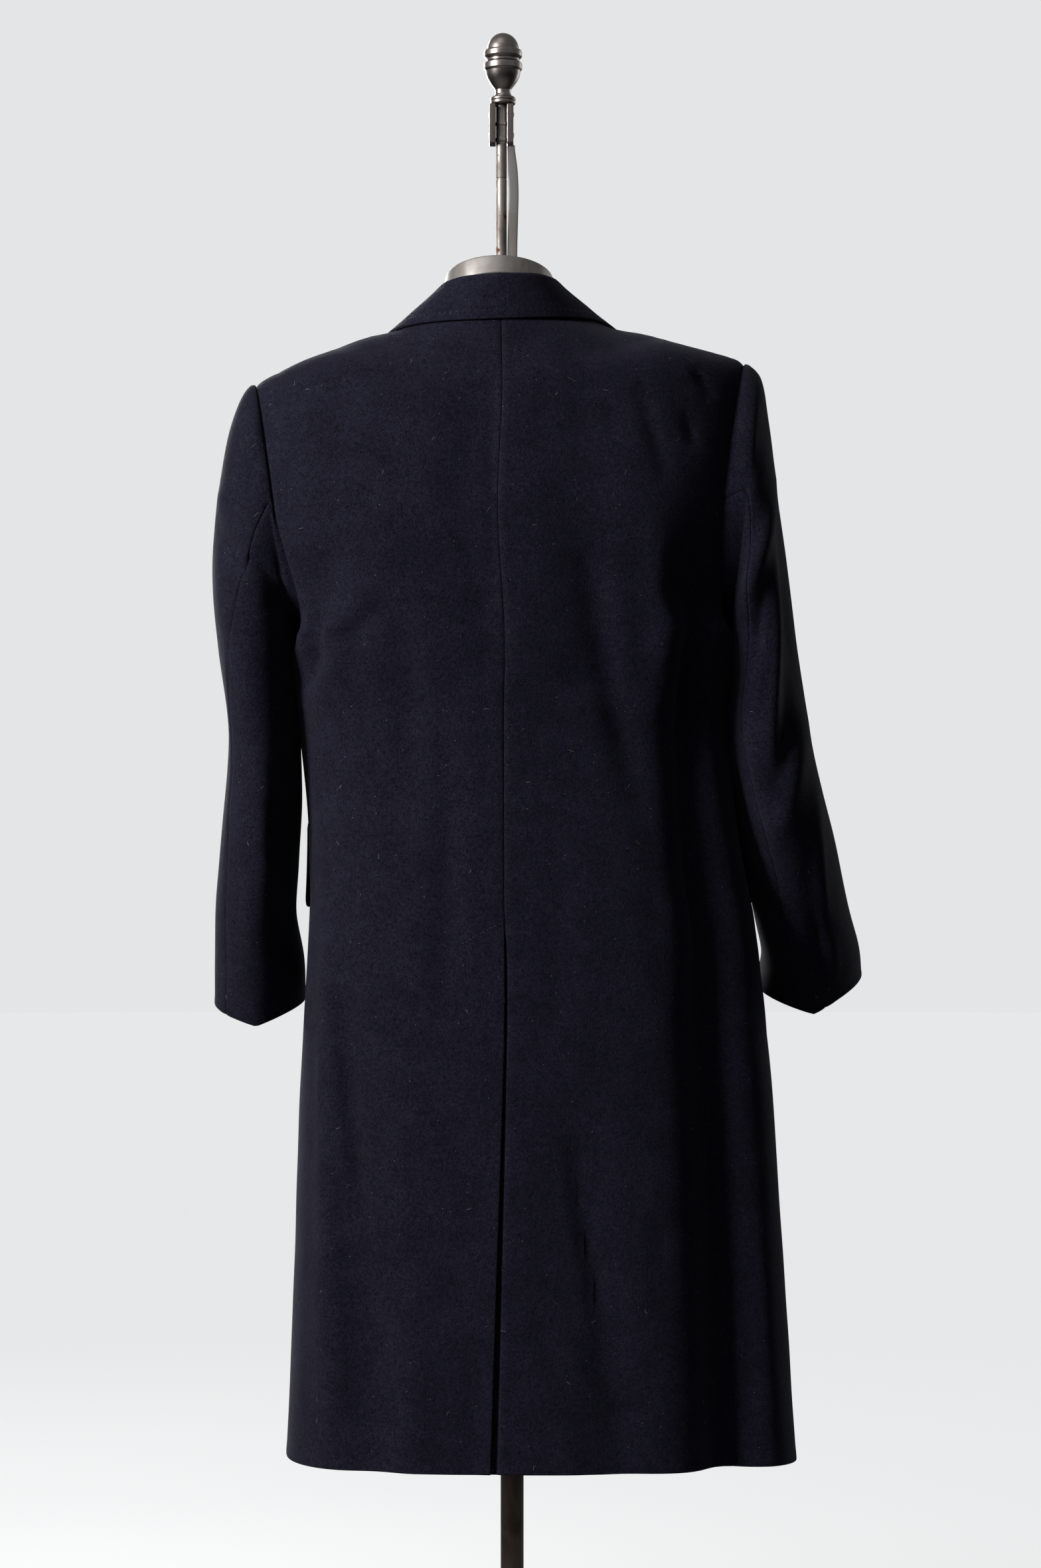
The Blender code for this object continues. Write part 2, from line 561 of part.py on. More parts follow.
def build_collar(material):
    """Stand and fall in one folded wall, from one lapel round the back of the neck to the other."""
    last = len(COLLAR_COLUMNS) - 1
    place = np.linspace(-last, last, 2 * last * COLLAR_COLUMN_STEPS + 1)
    side = np.sign(place)
    side[side == 0] = 1.0

    def column(name):
        return catmull_rom(np.array([getattr(row, name) for row in COLLAR_COLUMNS], float), np.abs(place))

    up = np.array([0.0, 0.0, 1.0])
    foot_angle = column("foot_angle") * side
    foot_height = column("foot_height")
    foot_normal = coat_normal(foot_height, foot_angle)
    outward = unit(foot_normal * np.array([1.0, 1.0, 0.0]))
    foot = coat_point(foot_height, foot_angle) + foot_normal * (CLOTH / 2 + COLLAR_FOOT_GAP)
    fold = foot + outward * column("fold_out")[:, None] + up * column("fold_up")[:, None]
    edge_height, edge_angle = column("edge_height"), column("edge_angle") * side
    edge = (coat_point(edge_height, edge_angle)
            + coat_normal(edge_height, edge_angle) * (CLOTH / 2 + REST_GAP))
    across = unit((edge - fold) * np.array([1.0, 1.0, 0.0]))
    inner_fold = fold - across * COLLAR_FOLD_RADIUS - up * COLLAR_FOLD_RADIUS
    outer_fold = fold + across * COLLAR_FOLD_RADIUS - up * COLLAR_FOLD_RADIUS
    middle = (outer_fold + edge) / 2 + unit(across + up) * COLLAR_BULGE
    grid = np.stack([foot, (foot + inner_fold) / 2, inner_fold, fold, outer_fold, middle, edge])
    normals = unit(np.cross(np.gradient(grid, axis=1), np.gradient(grid, axis=0)))
    cloth_wall("collar", grid + normals * CLOTH / 2, grid - normals * CLOTH / 2, material)


def build_flap(name, side, material):
    height = np.linspace(*FLAP_HEIGHT, 4)[:, None]
    angle = np.linspace(*FLAP_ANGLES, 8)[None, :]
    swing = (height - FLAP_HEIGHT[0]) / (FLAP_HEIGHT[1] - FLAP_HEIGHT[0])
    flare = FLAP_FLARE * (1.0 - swing) * np.ones(angle.shape)
    outer, inner = layer(np.broadcast_to(height, flare.shape), angle * side * np.ones(flare.shape),
                         FLAP_RISE + flare)
    cloth_wall(name, outer, inner, material)


def build_buttons(material):
    for number, button in enumerate(BUTTONS, start=1):
        point = coat_point(button.height, 180.0)
        normal = coat_normal(button.height, 180.0)
        seat = point + normal * (LAP_RISE + button.gap)
        radius = BUTTON_DIAMETER / 2
        profile = ((0.0, BUTTON_THICKNESS - 1.2), (radius - 4.0, BUTTON_THICKNESS - 1.2),
                   (radius - 2.5, BUTTON_THICKNESS), (radius - 0.8, BUTTON_THICKNESS - 0.3),
                   (radius, BUTTON_THICKNESS / 2), (radius - 0.8, 0.3), (radius - 2.0, 0.0), (0.0, 0.0))
        item = turned(f"button_{number}", profile, material, seat, steps=20)
        item.rotation_euler = Vector(normal).to_track_quat("Z", "Y").to_euler()


# ================================================================ dress form and stand
def build_form(material):
    """Closed torso under the coat: flat arm plates, and a tilted top under the neck cap."""
    heights = np.concatenate([np.linspace(FORM_BOTTOM, UNDERARM, 9), np.linspace(5.25, 7.0, 8),
                              np.linspace(7.25, 9.0, 8)])
    turns = np.arange(FORM_COLUMNS) * 360.0 / FORM_COLUMNS
    height, angle = np.meshgrid(heights, turns, indexing="ij")
    inset = ring_value("form_inset", height)[..., None]
    body = coat_point(height, angle, folded=False) - coat_normal(height, angle, folded=False) * inset
    centre = ring_value("centre_x", height)
    plates = centre + np.clip(body[..., 0] - centre, -ARM_PLATE_X, ARM_PLATE_X)
    under_arm = (height > WAIST) & (height < SHOULDER)
    shoulder_limit = ARM_PLATE_X + SHOULDER_CAP
    body[..., 0] = np.where(under_arm, plates, np.clip(body[..., 0], LEAN_CENTRE - shoulder_limit,
                                                       LEAN_CENTRE + shoulder_limit))
    turn = np.radians(turns)
    slope = math.tan(NECK_TILT)
    rings = []
    cap_bottom = CAP_TOP_Z - CAP_HEIGHT / math.cos(NECK_TILT) - CONTACT_GAP
    for radius, drop in NECK_RINGS:
        x = NECK_CENTRE[0] + radius * np.sin(turn)
        y = NECK_CENTRE[1] + radius * np.cos(turn)
        z = cap_bottom + slope * (y - NECK_CENTRE[1]) - drop
        rings.append(np.stack([x, y, z], axis=-1))
    grid = np.concatenate([body, np.stack(rings)])
    rows, columns = grid.shape[:2]
    faces = []
    for row in range(rows - 1):
        for column in range(columns):
            following = (column + 1) % columns
            faces.append((row * columns + column, row * columns + following,
                          (row + 1) * columns + following, (row + 1) * columns + column))
    faces.append(tuple(range(columns)))
    faces.append(tuple((rows - 1) * columns + column for column in range(columns)))
    mesh = bpy.data.meshes.new("dress_form")
    mesh.from_pydata((grid.reshape(-1, 3) * MM).tolist(), [], faces)
    shape = bmesh.new()
    shape.from_mesh(mesh)
    bmesh.ops.recalc_face_normals(shape, faces=shape.faces)
    shape.to_mesh(mesh)
    shape.free()
    add_object("dress_form", mesh, material, smooth_angle=50.0)
    return grid[0, 0, 2]


def build_neck_cap(material):
    top = Vector((NECK_CENTRE[0], NECK_CENTRE[1], CAP_TOP_Z))
    profile = ((0.0, 0.0), (CAP_RADIUS - 2.0, 0.0), (CAP_RADIUS, -2.0),
               (CAP_RADIUS, -CAP_HEIGHT), (0.0, -CAP_HEIGHT))
    turned("neck_cap", profile, material, top, steps=40, rotation=(NECK_TILT, 0.0, 0.0))


def build_handle(steel, rusty):
    """Rod, clamping plates, trigger strap, washer and finial above the neck cap."""
    rod_bottom = CAP_TOP_Z + (ROD_Y - NECK_CENTRE[1]) + 2.0
    rod_top = PLATE_TOP_Z
    radius = ROD_DIAMETER / 2
    turned("rod", ((0.0, rod_top), (radius, rod_top), (radius, rod_bottom), (0.0, rod_bottom)),
           rusty, (ROD_X, ROD_Y, 0.0), steps=24)
    for name, side in (("plate_left", 1.0), ("plate_right", -1.0)):
        bpy.ops.mesh.primitive_cube_add(size=1.0)
        item = bpy.context.object
        bpy.context.collection.objects.unlink(item)
        item.name = name
        item.data.name = name
        size = Vector((PLATE_THICKNESS, PLATE_DEPTH, PLATE_TOP_Z - PLATE_BOTTOM_Z)) * MM
        item.data.transform(Matrix.Diagonal((*size, 1.0)))
        bpy.data.collections[COLLECTION].objects.link(item)
        item.data.materials.append(rusty)
        bevel = item.modifiers.new("edge", "BEVEL")
        bevel.width = 0.8 * MM
        bevel.segments = 1
        offset = side * (radius + CONTACT_GAP + PLATE_THICKNESS / 2)
        item.location = Vector((ROD_X + offset, ROD_Y, (PLATE_TOP_Z + PLATE_BOTTOM_Z) / 2)) * MM
    half = WASHER_DIAMETER / 2
    turned("washer", ((0.0, WASHER_THICKNESS), (half - 1.0, WASHER_THICKNESS), (half, WASHER_THICKNESS - 1.0),
                      (half, 1.0), (half - 1.0, 0.0), (0.0, 0.0)),
           steel, (FINIAL_X, ROD_Y, WASHER_BOTTOM_Z), steps=32)
    finial_base = WASHER_BOTTOM_Z + WASHER_THICKNESS + CONTACT_GAP
    dome = [(15.4 * math.sin(math.radians(a)), 45.4 + 16.5 * math.cos(math.radians(a)))
            for a in range(0, 91, 18)]
    profile = dome + [(17.6, 45.0), (18.4, 43.0), (18.4, 38.6), (16.0, 36.6), (16.0, 34.4),
                      (18.6, 32.4), (18.6, 26.0), (16.6, 22.0), (12.0, 12.0), (8.4, 6.0),
                      (7.5, 3.0), (8.5, 0.0), (0.0, 0.0)]
    turned("finial", profile, steel, (FINIAL_X, ROD_Y, finial_base), steps=28)


def build_strap(material):
    """Flat trigger strap beside the rod, from the neck cap to the right clamping plate."""
    outline = ((-10.6, CAP_TOP_Z + 0.8), (-10.7, 1560.0), (-11.4, 1590.0), (-11.9, 1612.0),
               (-11.3, 1636.0), (-10.6, 1659.6))
    points = np.array([(ROD_X + x, z) for x, z in outline])
    left = points + np.array([STRAP_WIDTH / 2, 0.0])
    right = points - np.array([STRAP_WIDTH / 2, 0.0])
    back = ROD_Y + STRAP_THICKNESS / 2
    front = ROD_Y - STRAP_THICKNESS / 2

    def rail(side, depth):
        return np.stack([side[:, 0], np.full(len(side), depth), side[:, 1]], axis=-1)

    outer = np.stack([rail(left, back), rail(right, back)], axis=1)
    inner = np.stack([rail(left, front), rail(right, front)], axis=1)
    cloth_wall("trigger_strap", outer, inner, material)


def build_stand(steel, iron, form_bottom):
    radius = POLE_DIAMETER / 2
    top = form_bottom - CONTACT_GAP
    bottom = BOSS_TOP + CONTACT_GAP
    turned("pole", ((0.0, top), (radius, top), (radius, bottom), (0.0, bottom)),
           steel, (0.0, 0.0, 0.0), steps=32)
    turned("base", ((0.0, BOSS_TOP), (BOSS_RADIUS - 8.0, BOSS_TOP), (BOSS_RADIUS - 6.0, BOSS_TOP - 2.0),
                    (BOSS_RADIUS - 6.0, BASE_CROWN + 8.0), (BOSS_RADIUS + 6.0, BASE_CROWN),
                    (BASE_RADIUS - 8.0, BASE_EDGE), (BASE_RADIUS, BASE_EDGE - 5.0),
                    (BASE_RADIUS, 0.0), (0.0, 0.0)), iron, (0.0, 0.0, 0.0), steps=40)


# ================================================================ assembly
COLLECTION = "wool_overcoat_on_dress_form"


def main():
    clear_scene()
    collection = bpy.data.collections.new(COLLECTION)
    bpy.context.scene.collection.children.link(collection)
    wool = new_material("navy_wool", (0.012, 0.014, 0.026), 0.95)
    horn = new_material("dark_horn", (0.010, 0.009, 0.009), 0.40)
    linen = new_material("form_linen", (0.45, 0.38, 0.29), 0.90)
    rusty = new_material("rusty_steel", (0.14, 0.11, 0.09), 0.55, 0.9)
    steel = new_material("worn_steel", (0.24, 0.21, 0.19), 0.40, 1.0)
    iron = new_material("black_iron", (0.03, 0.03, 0.03), 0.60, 0.8)
    build_back_left(wool)
    build_back_right(wool)
    build_front("front_left", 1.0, wool)
    build_front("front_right", -1.0, wool)
    build_sleeve("left", 1.0, LEFT_SLEEVE, wool)
    build_sleeve("right", -1.0, RIGHT_SLEEVE, wool)
    build_lapel("lapel_left", 1.0, LEFT_LAPEL_START, wool)
    build_lapel("lapel_right", -1.0, RIGHT_LAPEL_START, wool)
    build_collar(wool)
    build_flap("pocket_flap_left", 1.0, wool)
    build_flap("pocket_flap_right", -1.0, wool)
    build_buttons(horn)
    form_bottom = build_form(linen)
    build_neck_cap(rusty)
    build_handle(steel, rusty)
    build_strap(rusty)
    build_stand(steel, iron, form_bottom)


main()
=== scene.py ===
"""Wool overcoat on a dress form: the look of each piece, built round its solid model.

The coat's pieces are thin closed walls cut from one worn surface, the same surface as the solid
model's, at a fine step and with its seams, turned edges and creases. Working lengths are
millimetres, turned into metres when a mesh is made. +Z is up, the front of the coat faces -Y,
the wearer's left is +X. Angles round the body run in degrees from the centre back to the left.
"""

import math
from collections import namedtuple

import bmesh
import bpy
import numpy as np
from bpy.props import FloatProperty, FloatVectorProperty, PointerProperty
from mathutils import Euler, Matrix, Vector


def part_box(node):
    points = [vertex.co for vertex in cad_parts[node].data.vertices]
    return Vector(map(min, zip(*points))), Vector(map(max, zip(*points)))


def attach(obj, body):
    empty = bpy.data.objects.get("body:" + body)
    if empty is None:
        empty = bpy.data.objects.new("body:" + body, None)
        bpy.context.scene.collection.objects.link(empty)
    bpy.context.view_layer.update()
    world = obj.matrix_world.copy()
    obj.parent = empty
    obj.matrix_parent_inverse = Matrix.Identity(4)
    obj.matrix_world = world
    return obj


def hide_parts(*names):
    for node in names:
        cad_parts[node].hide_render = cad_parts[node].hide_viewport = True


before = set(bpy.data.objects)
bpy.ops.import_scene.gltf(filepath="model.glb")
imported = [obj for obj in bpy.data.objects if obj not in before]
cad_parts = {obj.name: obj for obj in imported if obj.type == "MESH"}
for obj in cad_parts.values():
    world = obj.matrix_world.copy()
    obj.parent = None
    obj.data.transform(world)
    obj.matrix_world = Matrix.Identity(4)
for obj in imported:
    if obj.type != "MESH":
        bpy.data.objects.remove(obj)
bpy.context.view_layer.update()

bl_info = {
    "name": "Wool overcoat on a dress form",
    "version": (1, 0, 0),
    "blender": (4, 5, 0),
    "location": "3D View > Sidebar > Overcoat",
    "description": "Makes a long wool overcoat, the dress form under it and its stand",
    "category": "Object",
}

MM = 0.001

# ---- cloth
CLOTH = 2.0                 # wall of the melton, with what backs it
SEAM_GAP = 0.12             # between two pieces that are sewn together
REST_GAP = 0.9              # between two layers that lie on each other
LEAN_CENTRE = 12.0          # the upper coat leans about this x
EDGE_RADIUS = 1.1           # every edge of the cloth is rounded over this width
TURNED_WIDTH = 9.0          # width of the allowance turned under at a finished edge
TURNED_EXTRA = 0.28         # how much thicker a turned edge is
EDGE_STEPS = np.array([0.0, 0.25, 0.7, 1.3, 2.3, 3.8, 6.0, 8.6])

Ring = namedtuple("Ring", "name z_back z_side z_front half_width depth_back depth_front "
                          "centre_x squareness seam_angle lean form_inset")
COAT_RINGS = (
    #    name            z_back z_side z_front half  back front centre square seam  lean   inset
    Ring("hem",             400,   400,   400,  242,  150,  152,   -26, 0.05,  9.0, 0.000, 60),
    Ring("knee",            600,   600,   600,  232,  143,  146,   -24, 0.05,  7.6, 0.000, 55),
    Ring("thigh",           800,   800,   800,  222,  134,  140,   -21, 0.04,  6.2, 0.000, 42),
    Ring("hip",             945,   945,   945,  206,  126,  134,   -12, 0.04,  4.6, 0.006, 27),
    Ring("waist",          1085,  1085,  1085,  200,  116,  126,    -3, 0.03,  2.7, 0.015, 22),
    Ring("underarm",       1186,  1186,  1180,  206,  126,  134,    -1, 0.04,  2.0, 0.022, 20),
    Ring("chest",          1298,  1302,  1285,  240,  130,  132,    12, 0.04,  0.3, 0.030, 15),
    Ring("shoulder_edge",  1398,  1431,  1363,  236,  114,  118,    12, 0.02, -0.6, 0.032, 5.5),
    Ring("mid_shoulder",   1445,  1458,  1402,  155,   98,   96,    12, 0.00, -0.9, 0.032, 4.0),
    Ring("neckline",       1486,  1491,  1435,   76,   80,   72,    12, 0.00, -1.2, 0.032, 4),
)
RING_NUMBER = {ring.name: number for number, ring in enumerate(COAT_RINGS)}
WAIST = RING_NUMBER["waist"]
UNDERARM = RING_NUMBER["underarm"]
CHEST = RING_NUMBER["chest"]
SHOULDER = RING_NUMBER["shoulder_edge"]
NECKLINE = RING_NUMBER["neckline"]

# Distance between rings, where a size along the cloth has to be told in rings.
SKIRT_RING = 200.0
VENT_RING = 145.0
FLAP_RING = 142.0
CHEST_RING = 118.0
YOKE_RING = 105.0
LAPEL_RING = 75.0
SLEEVE_RING = 46.0
CUFF_RING = 40.0

SIDE = 90.0                 # angle of the side and shoulder seams
ARMHOLE_BACK = 32.0         # how far the armhole cuts into the back, degrees
ARMHOLE_FRONT = 34.0
ARMHOLE_ROUNDNESS = 0.4

Fold = namedtuple("Fold", "bottom top angle_bottom angle_top width depth_bottom depth_top")
COAT_FOLDS = (
    #  bottom top  angles bottom, top  width  depth bottom, top
    Fold(-0.2, 6.3,     -42.0,  -50.0,   9.5,  -30.0,  -9.0),       # right flute
    Fold(-0.2, 4.2,     -68.0,  -72.0,  12.0,    9.0,   2.0),       # right side roll
    Fold(-0.2, 2.0,     -17.0,   -6.0,   5.5,   -7.0,  -4.0),       # right back trough
    Fold(4.2, 7.4,      -17.0,  -16.0,   8.0,   -5.0,  -5.0),       # right blade
    Fold(4.4, 7.6,        6.0,    4.5,   5.0,   -4.0,  -5.0),       # left of seam
    Fold(4.3, 6.0,       66.0,   36.0,   8.0,   -6.0,  -5.0),       # left underarm
    Fold(0.2, 3.0,       46.0,   61.0,   7.0,    9.0,   5.0),       # left ridge
    Fold(-0.2, 2.4,      33.0,   48.0,   8.0,   -9.0,  -3.0),       # left flute
    Fold(-0.2, 3.2,     126.0,  118.0,   9.0,  -12.0,  -3.0),       # left front flute
    Fold(-0.2, 3.0,    -122.0, -114.0,  10.0,  -13.0,  -3.0),       # right front flute
)

# Creases lie on top of the folds. A route runs through (x, z) as seen from its side of the part.
# A negative depth is a trough.
Crease = namedtuple("Crease", "route width depth")
CREASES = {
    ("coat", "back"): (
        Crease(((-70, 1262), (-84, 1180), (-99, 1100), (-122, 1000)), 15, -5.5),
        Crease(((-136, 1290), (-139, 1200), (-147, 1060), (-150, 960)), 13, 3.5),
        Crease(((-118, 1412), (-132, 1370), (-147, 1318)), 8, -3.0),
        Crease(((-163, 1388), (-172, 1352)), 5, -2.2),
        Crease(((-172, 1434), (-190, 1402)), 6, -2.2),
        Crease(((-88, 1400), (-104, 1352)), 9, -1.6),
        Crease(((15, 1440), (18, 1380), (19, 1290), (17, 1190)), 6, -2.0),
        Crease(((118, 1206), (150, 1180), (196, 1140)), 10, -3.2),
        Crease(((150, 1150), (178, 1130), (200, 1112)), 7, 1.8),
        Crease(((104, 1210), (98, 1110), (97, 990)), 17, -3.4),
        Crease(((64, 1130), (60, 1020), (62, 900), (66, 790)), 12, -2.2),
        Crease(((173, 862), (167, 790), (158, 706), (146, 628), (140, 566)), 3.4, 2.3),
        Crease(((162, 850), (155, 770), (145, 690), (134, 610)), 8, -2.4),
        Crease(((-57, 712), (-63, 636), (-75, 574), (-86, 496)), 4.2, -3.8),
        Crease(((-48, 700), (-54, 640), (-66, 576), (-76, 500)), 6, 1.6),
        Crease(((-90, 462), (-112, 458), (-136, 461)), 6, -2.2),
        Crease(((-18, 566), (-34, 522), (-41, 478)), 10, -1.6),
        Crease(((-96, 560), (-110, 520), (-113, 484)), 9, 1.5),
        Crease(((40, 520), (33, 470), (34, 420), (30, 380)), 14, -1.8),
        Crease(((98, 540), (92, 470), (94, 410), (92, 370)), 16, 2.2),
        Crease(((-140, 640), (-134, 590), (-137, 540)), 8, -1.4),
        Crease(((-60, 470), (-70, 420), (-70, 372)), 10, -1.8),
        Crease(((-40, 1010), (-44, 900), (-40, 800)), 16, -1.6),
        Crease(((-190, 720), (-196, 560), (-205, 400), (-208, 360)), 9, -2.5),
        Crease(((-232, 640), (-238, 520), (-246, 380)), 9, 2.5),
    ),
    ("coat", "front"): (
        Crease(((24, 1216), (66, 1246), (112, 1262)), 9, -2.0),
        Crease(((-34, 1208), (-78, 1240), (-126, 1262)), 9, -2.0),
        Crease(((120, 1330), (132, 1270), (126, 1190)), 14, -2.6),
        Crease(((-112, 1320), (-124, 1262), (-120, 1180)), 13, -2.4),
        Crease(((36, 1092), (84, 1104), (140, 1098)), 8, -1.8),
        Crease(((-30, 1086), (-78, 1092), (-132, 1080)), 8, -1.6),
        Crease(((92, 800), (104, 620), (118, 440), (120, 360)), 13, -3.2),
        Crease(((-98, 780), (-112, 600), (-130, 440), (-134, 360)), 12, -3.0),
        Crease(((66, 690), (70, 540), (78, 380)), 10, 2.2),
        Crease(((-70, 690), (-78, 600), (-84, 520)), 4, -2.4),
    ),
    ("sleeve_left", "back"): (
        Crease(((288, 1292), (276, 1276), (262, 1252), (244, 1244)), 9, -4.6),
        Crease(((252, 1251), (240, 1246), (222, 1230)), 6, -4.2),
        Crease(((258, 1232), (244, 1226), (232, 1210)), 8, 3.6),
        Crease(((284, 1316), (268, 1312), (250, 1306)), 10, 2.4),
        Crease(((236, 1370), (246, 1330), (262, 1300)), 8, -1.8),
        Crease(((262, 1190), (258, 1120), (262, 1050)), 15, 2.2),
        Crease(((228, 1068), (222, 1010), (228, 960)), 9, -2.6),
        Crease(((240, 1040), (236, 970), (240, 900)), 8, 2.2),
        Crease(((268, 1000), (262, 940), (266, 880)), 9, -1.6),
        Crease(((226, 900), (222, 868), (224, 830)), 9, -2.0),
    ),
    ("sleeve_left", "front"): (
        Crease(((214, 1078), (236, 1066), (262, 1070)), 8, -4.6),
        Crease(((216, 1040), (240, 1032), (266, 1044)), 7, -3.6),
        Crease(((226, 1210), (242, 1150), (256, 1100)), 11, -2.6),
    ),
    ("sleeve_right", "back"): (
        Crease(((-250, 1350), (-246, 1306), (-236, 1262), (-224, 1220), (-216, 1180)), 7, 4.6),
        Crease(((-250, 1262), (-251, 1190), (-248, 1120), (-244, 1050)), 5, 3.4),
        Crease(((-240, 1236), (-234, 1190), (-229, 1140)), 8, -4.6),
        Crease(((-254, 1330), (-262, 1240), (-266, 1160), (-262, 1080), (-250, 1006)), 10, -6.5),
        Crease(((-284, 1120), (-272, 1070), (-258, 1012), (-250, 970)), 9, 4.0),
        Crease(((-222, 1120), (-234, 1050), (-246, 990)), 7, 2.0),
        Crease(((-288, 1058), (-292, 980), (-300, 900)), 5, 2.4),
        Crease(((-276, 990), (-284, 930), (-292, 880)), 9, -1.8),
        Crease(((-288, 914), (-295, 872), (-300, 842)), 6, -5.0),
        Crease(((-304, 900), (-308, 868), (-306, 846)), 6, 2.0),
        Crease(((-240, 1404), (-236, 1360), (-228, 1322)), 7, -2.2),
    ),
    ("sleeve_right", "front"): (
        Crease(((-218, 1090), (-240, 1070), (-268, 1074)), 8, -5.0),
        Crease(((-224, 1050), (-250, 1036), (-282, 1050)), 7, -4.0),
        Crease(((-226, 1230), (-240, 1170), (-250, 1110)), 11, -3.0),
    ),
}
# How the shoulders settle: (x, rise), full from the upper height up and nothing below the lower one.
SHOULDER_SETTLE = (
    (-262, 8), (-249, 8), (-236, 4.5), (-223, 5.5), (-210, 1), (-198, 0), (-185, 1), (-172, 3),
    (-159, 5.5), (-146, 7.5), (-134, 7), (-121, 5), (-108, 2), (-96, 0), (110, 0), (122, 3), (135, 6.5),
    (148, 8), (161, 8.5), (174, 8), (186, 6), (199, 3), (212, -0.5), (225, -3.5), (238, -3), (250, 0),
    (263, 5), (276, 8),
)
SETTLE_HEIGHTS = (1330.0, 1420.0)
# How full the sides hang over the form, (z, fullness).
LEFT_FULLNESS = ((930, 0), (995, 1.5), (1060, 5), (1106, 8), (1150, 13), (1185, 15), (1215, 0))
RIGHT_FULLNESS = ((800, 0), (850, 3), (880, 6), (915, 8), (960, 6), (1000, 5), (1090, 5.5),
                  (1140, 9.5), (1185, 14), (1215, 0))
RELIEF_FADE_WIDTH = 26.0    # creases die out this far from an armhole
WAVE_COUNT = 14             # soft unevenness of the cloth
WAVE_LENGTHS = (42.0, 150.0)
WAVE_SEED = 11

# ---- sleeves
SleeveRing = namedtuple("SleeveRing", "inner_x inner_z outer_x outer_z centre_y depth tilt seam")
LEFT_SLEEVE = (
    #          inner_x inner_z outer_x outer_z centre_y depth  tilt  seam
    SleeveRing(209.0,  1183,   252,    1423,     -1,    156,  0.00,   90),
    SleeveRing(211.5,  1178,   262,    1404,     -1,    158,  0.00,   90),
    SleeveRing(211.5,  1168,   274,    1367,     -2,    160,  0.00,   93),
    SleeveRing(210.0,  1149,   283,    1312,     -3,    162,  0.00,   98),
    SleeveRing(208.0,  1122,   288,    1248,     -5,    162,  0.02,  110),
    SleeveRing(207.0,  1080,   282,    1172,     -8,    158,  0.05,  128),
    SleeveRing(206.0,  1025,   272,    1092,    -13,    152,  0.10,  140),
    SleeveRing(209.5,   965,   279,    1010,    -24,    146,  0.18,  138),
    SleeveRing(213.0,   915,   286,     935,    -42,    134,  0.28,  134),
    SleeveRing(206.0,   868,   289,     876,    -60,    122,  0.34,  132),
    SleeveRing(205.0,   832,   291,     829,    -75,    112,  0.42,  132),
)
RIGHT_SLEEVE = (
    SleeveRing(211.5,  1192,   229,    1438,     -1,    156,  0.00,   90),
    SleeveRing(212.0,  1187,   239,    1425,     -1,    158,  0.00,   88),
    SleeveRing(212.0,  1176,   246,    1384,     -2,    160,  0.00,   82),
    SleeveRing(211.0,  1155,   254,    1318,     -3,    162,  0.00,   72),
    SleeveRing(210.0,  1122,   264,    1252,     -5,    162,  0.02,   60),
    SleeveRing(207.5,  1080,   274,    1172,     -8,    158,  0.05,   52),
    SleeveRing(215.0,  1025,   288,    1080,    -13,    152,  0.10,   58),
    SleeveRing(226.0,   965,   308,    1000,    -26,    146,  0.18,   66),
    SleeveRing(239.0,   912,   325,     925,    -46,    136,  0.30,   67),
    SleeveRing(246.0,   876,   337,     886,    -62,    124,  0.44,   80),
    SleeveRing(242.0,   846,   341,     858,    -76,    114,  0.58,  103),
)
SLEEVE_START = -1.0         # the sleeve's edge tucks this far under the armhole's edge
SLEEVE_SEAM_GAP = -0.3      # degrees; below nothing, the sleeve's pieces meet in the seam
ARMHOLE_STEP = 18.0
SLEEVE_FRONT_SEAM = -3      # the seams leave the armhole at these steps
SLEEVE_BACK_SEAM = 5
SLEEVE_MM_PER_DEGREE = 1.25
CUFF_POINT = {0: 0.62, -1: 0.3}     # the cuff comes to a point at its back seam; by rows from the last
CUFF_FOLD = 7.0             # the cuff's turned edge shows as a line this far up

# ---- backs, fronts and vent
VENT_TOP = 2.75
VENT_GAP = (0.3, 9.0)       # from the upper edge to the lower crease, at its top and at the hem
VENT_DIP = (1.2, 4.0)       # width over which the underlap steps in behind the left back
VENT_UNDERLAP = 42.0
VENT_DEPTH = CLOTH + 1.3
HEM_TURN = 34.0             # the hem's allowance shows this far up inside
CUFF_TURN = 32.0
FACING_WIDTH = 75.0
BREAK = 5.45                # the lapels roll from here up
FRONT_LAP = 36.0            # each front runs this far past the centre front
LAP_RISE = CLOTH + 1.8
LAP_RAMP = 16.0             # width over which the left front climbs onto the right one
LAP_ZONE = 2 * FRONT_LAP + 10.0
LAP_FADE = (5.72, 6.6)      # above the lap the left front sinks back to the coat's surface

RollPoint = namedtuple("RollPoint", "height angle")
ROLL_LINE = (
    RollPoint(5.72, 180.0), RollPoint(6.0, 177.5), RollPoint(6.5, 175.0), RollPoint(7.0, 171.5),
    RollPoint(7.5, 167.0), RollPoint(8.0, 161.0), RollPoint(8.4, 153.0), RollPoint(8.75, 140.0),
    RollPoint(9.0, 122.0),
)
LapelRow = namedtuple("LapelRow", "height width")
LAPEL_SHAPE = (
    LapelRow(5.41, 4), LapelRow(5.8, 36), LapelRow(6.3, 68), LapelRow(6.9, 92),
    LapelRow(7.4, 98), LapelRow(7.8, 88),
)
LAPEL_TOP = 7.78
LEFT_LAPEL_START = 5.47
RIGHT_LAPEL_START = 5.80    # it comes out from under the left front here
LAPEL_GAP = 1.0
LAPEL_ROLL = 2.5            # how far the lapel's middle stands off the front

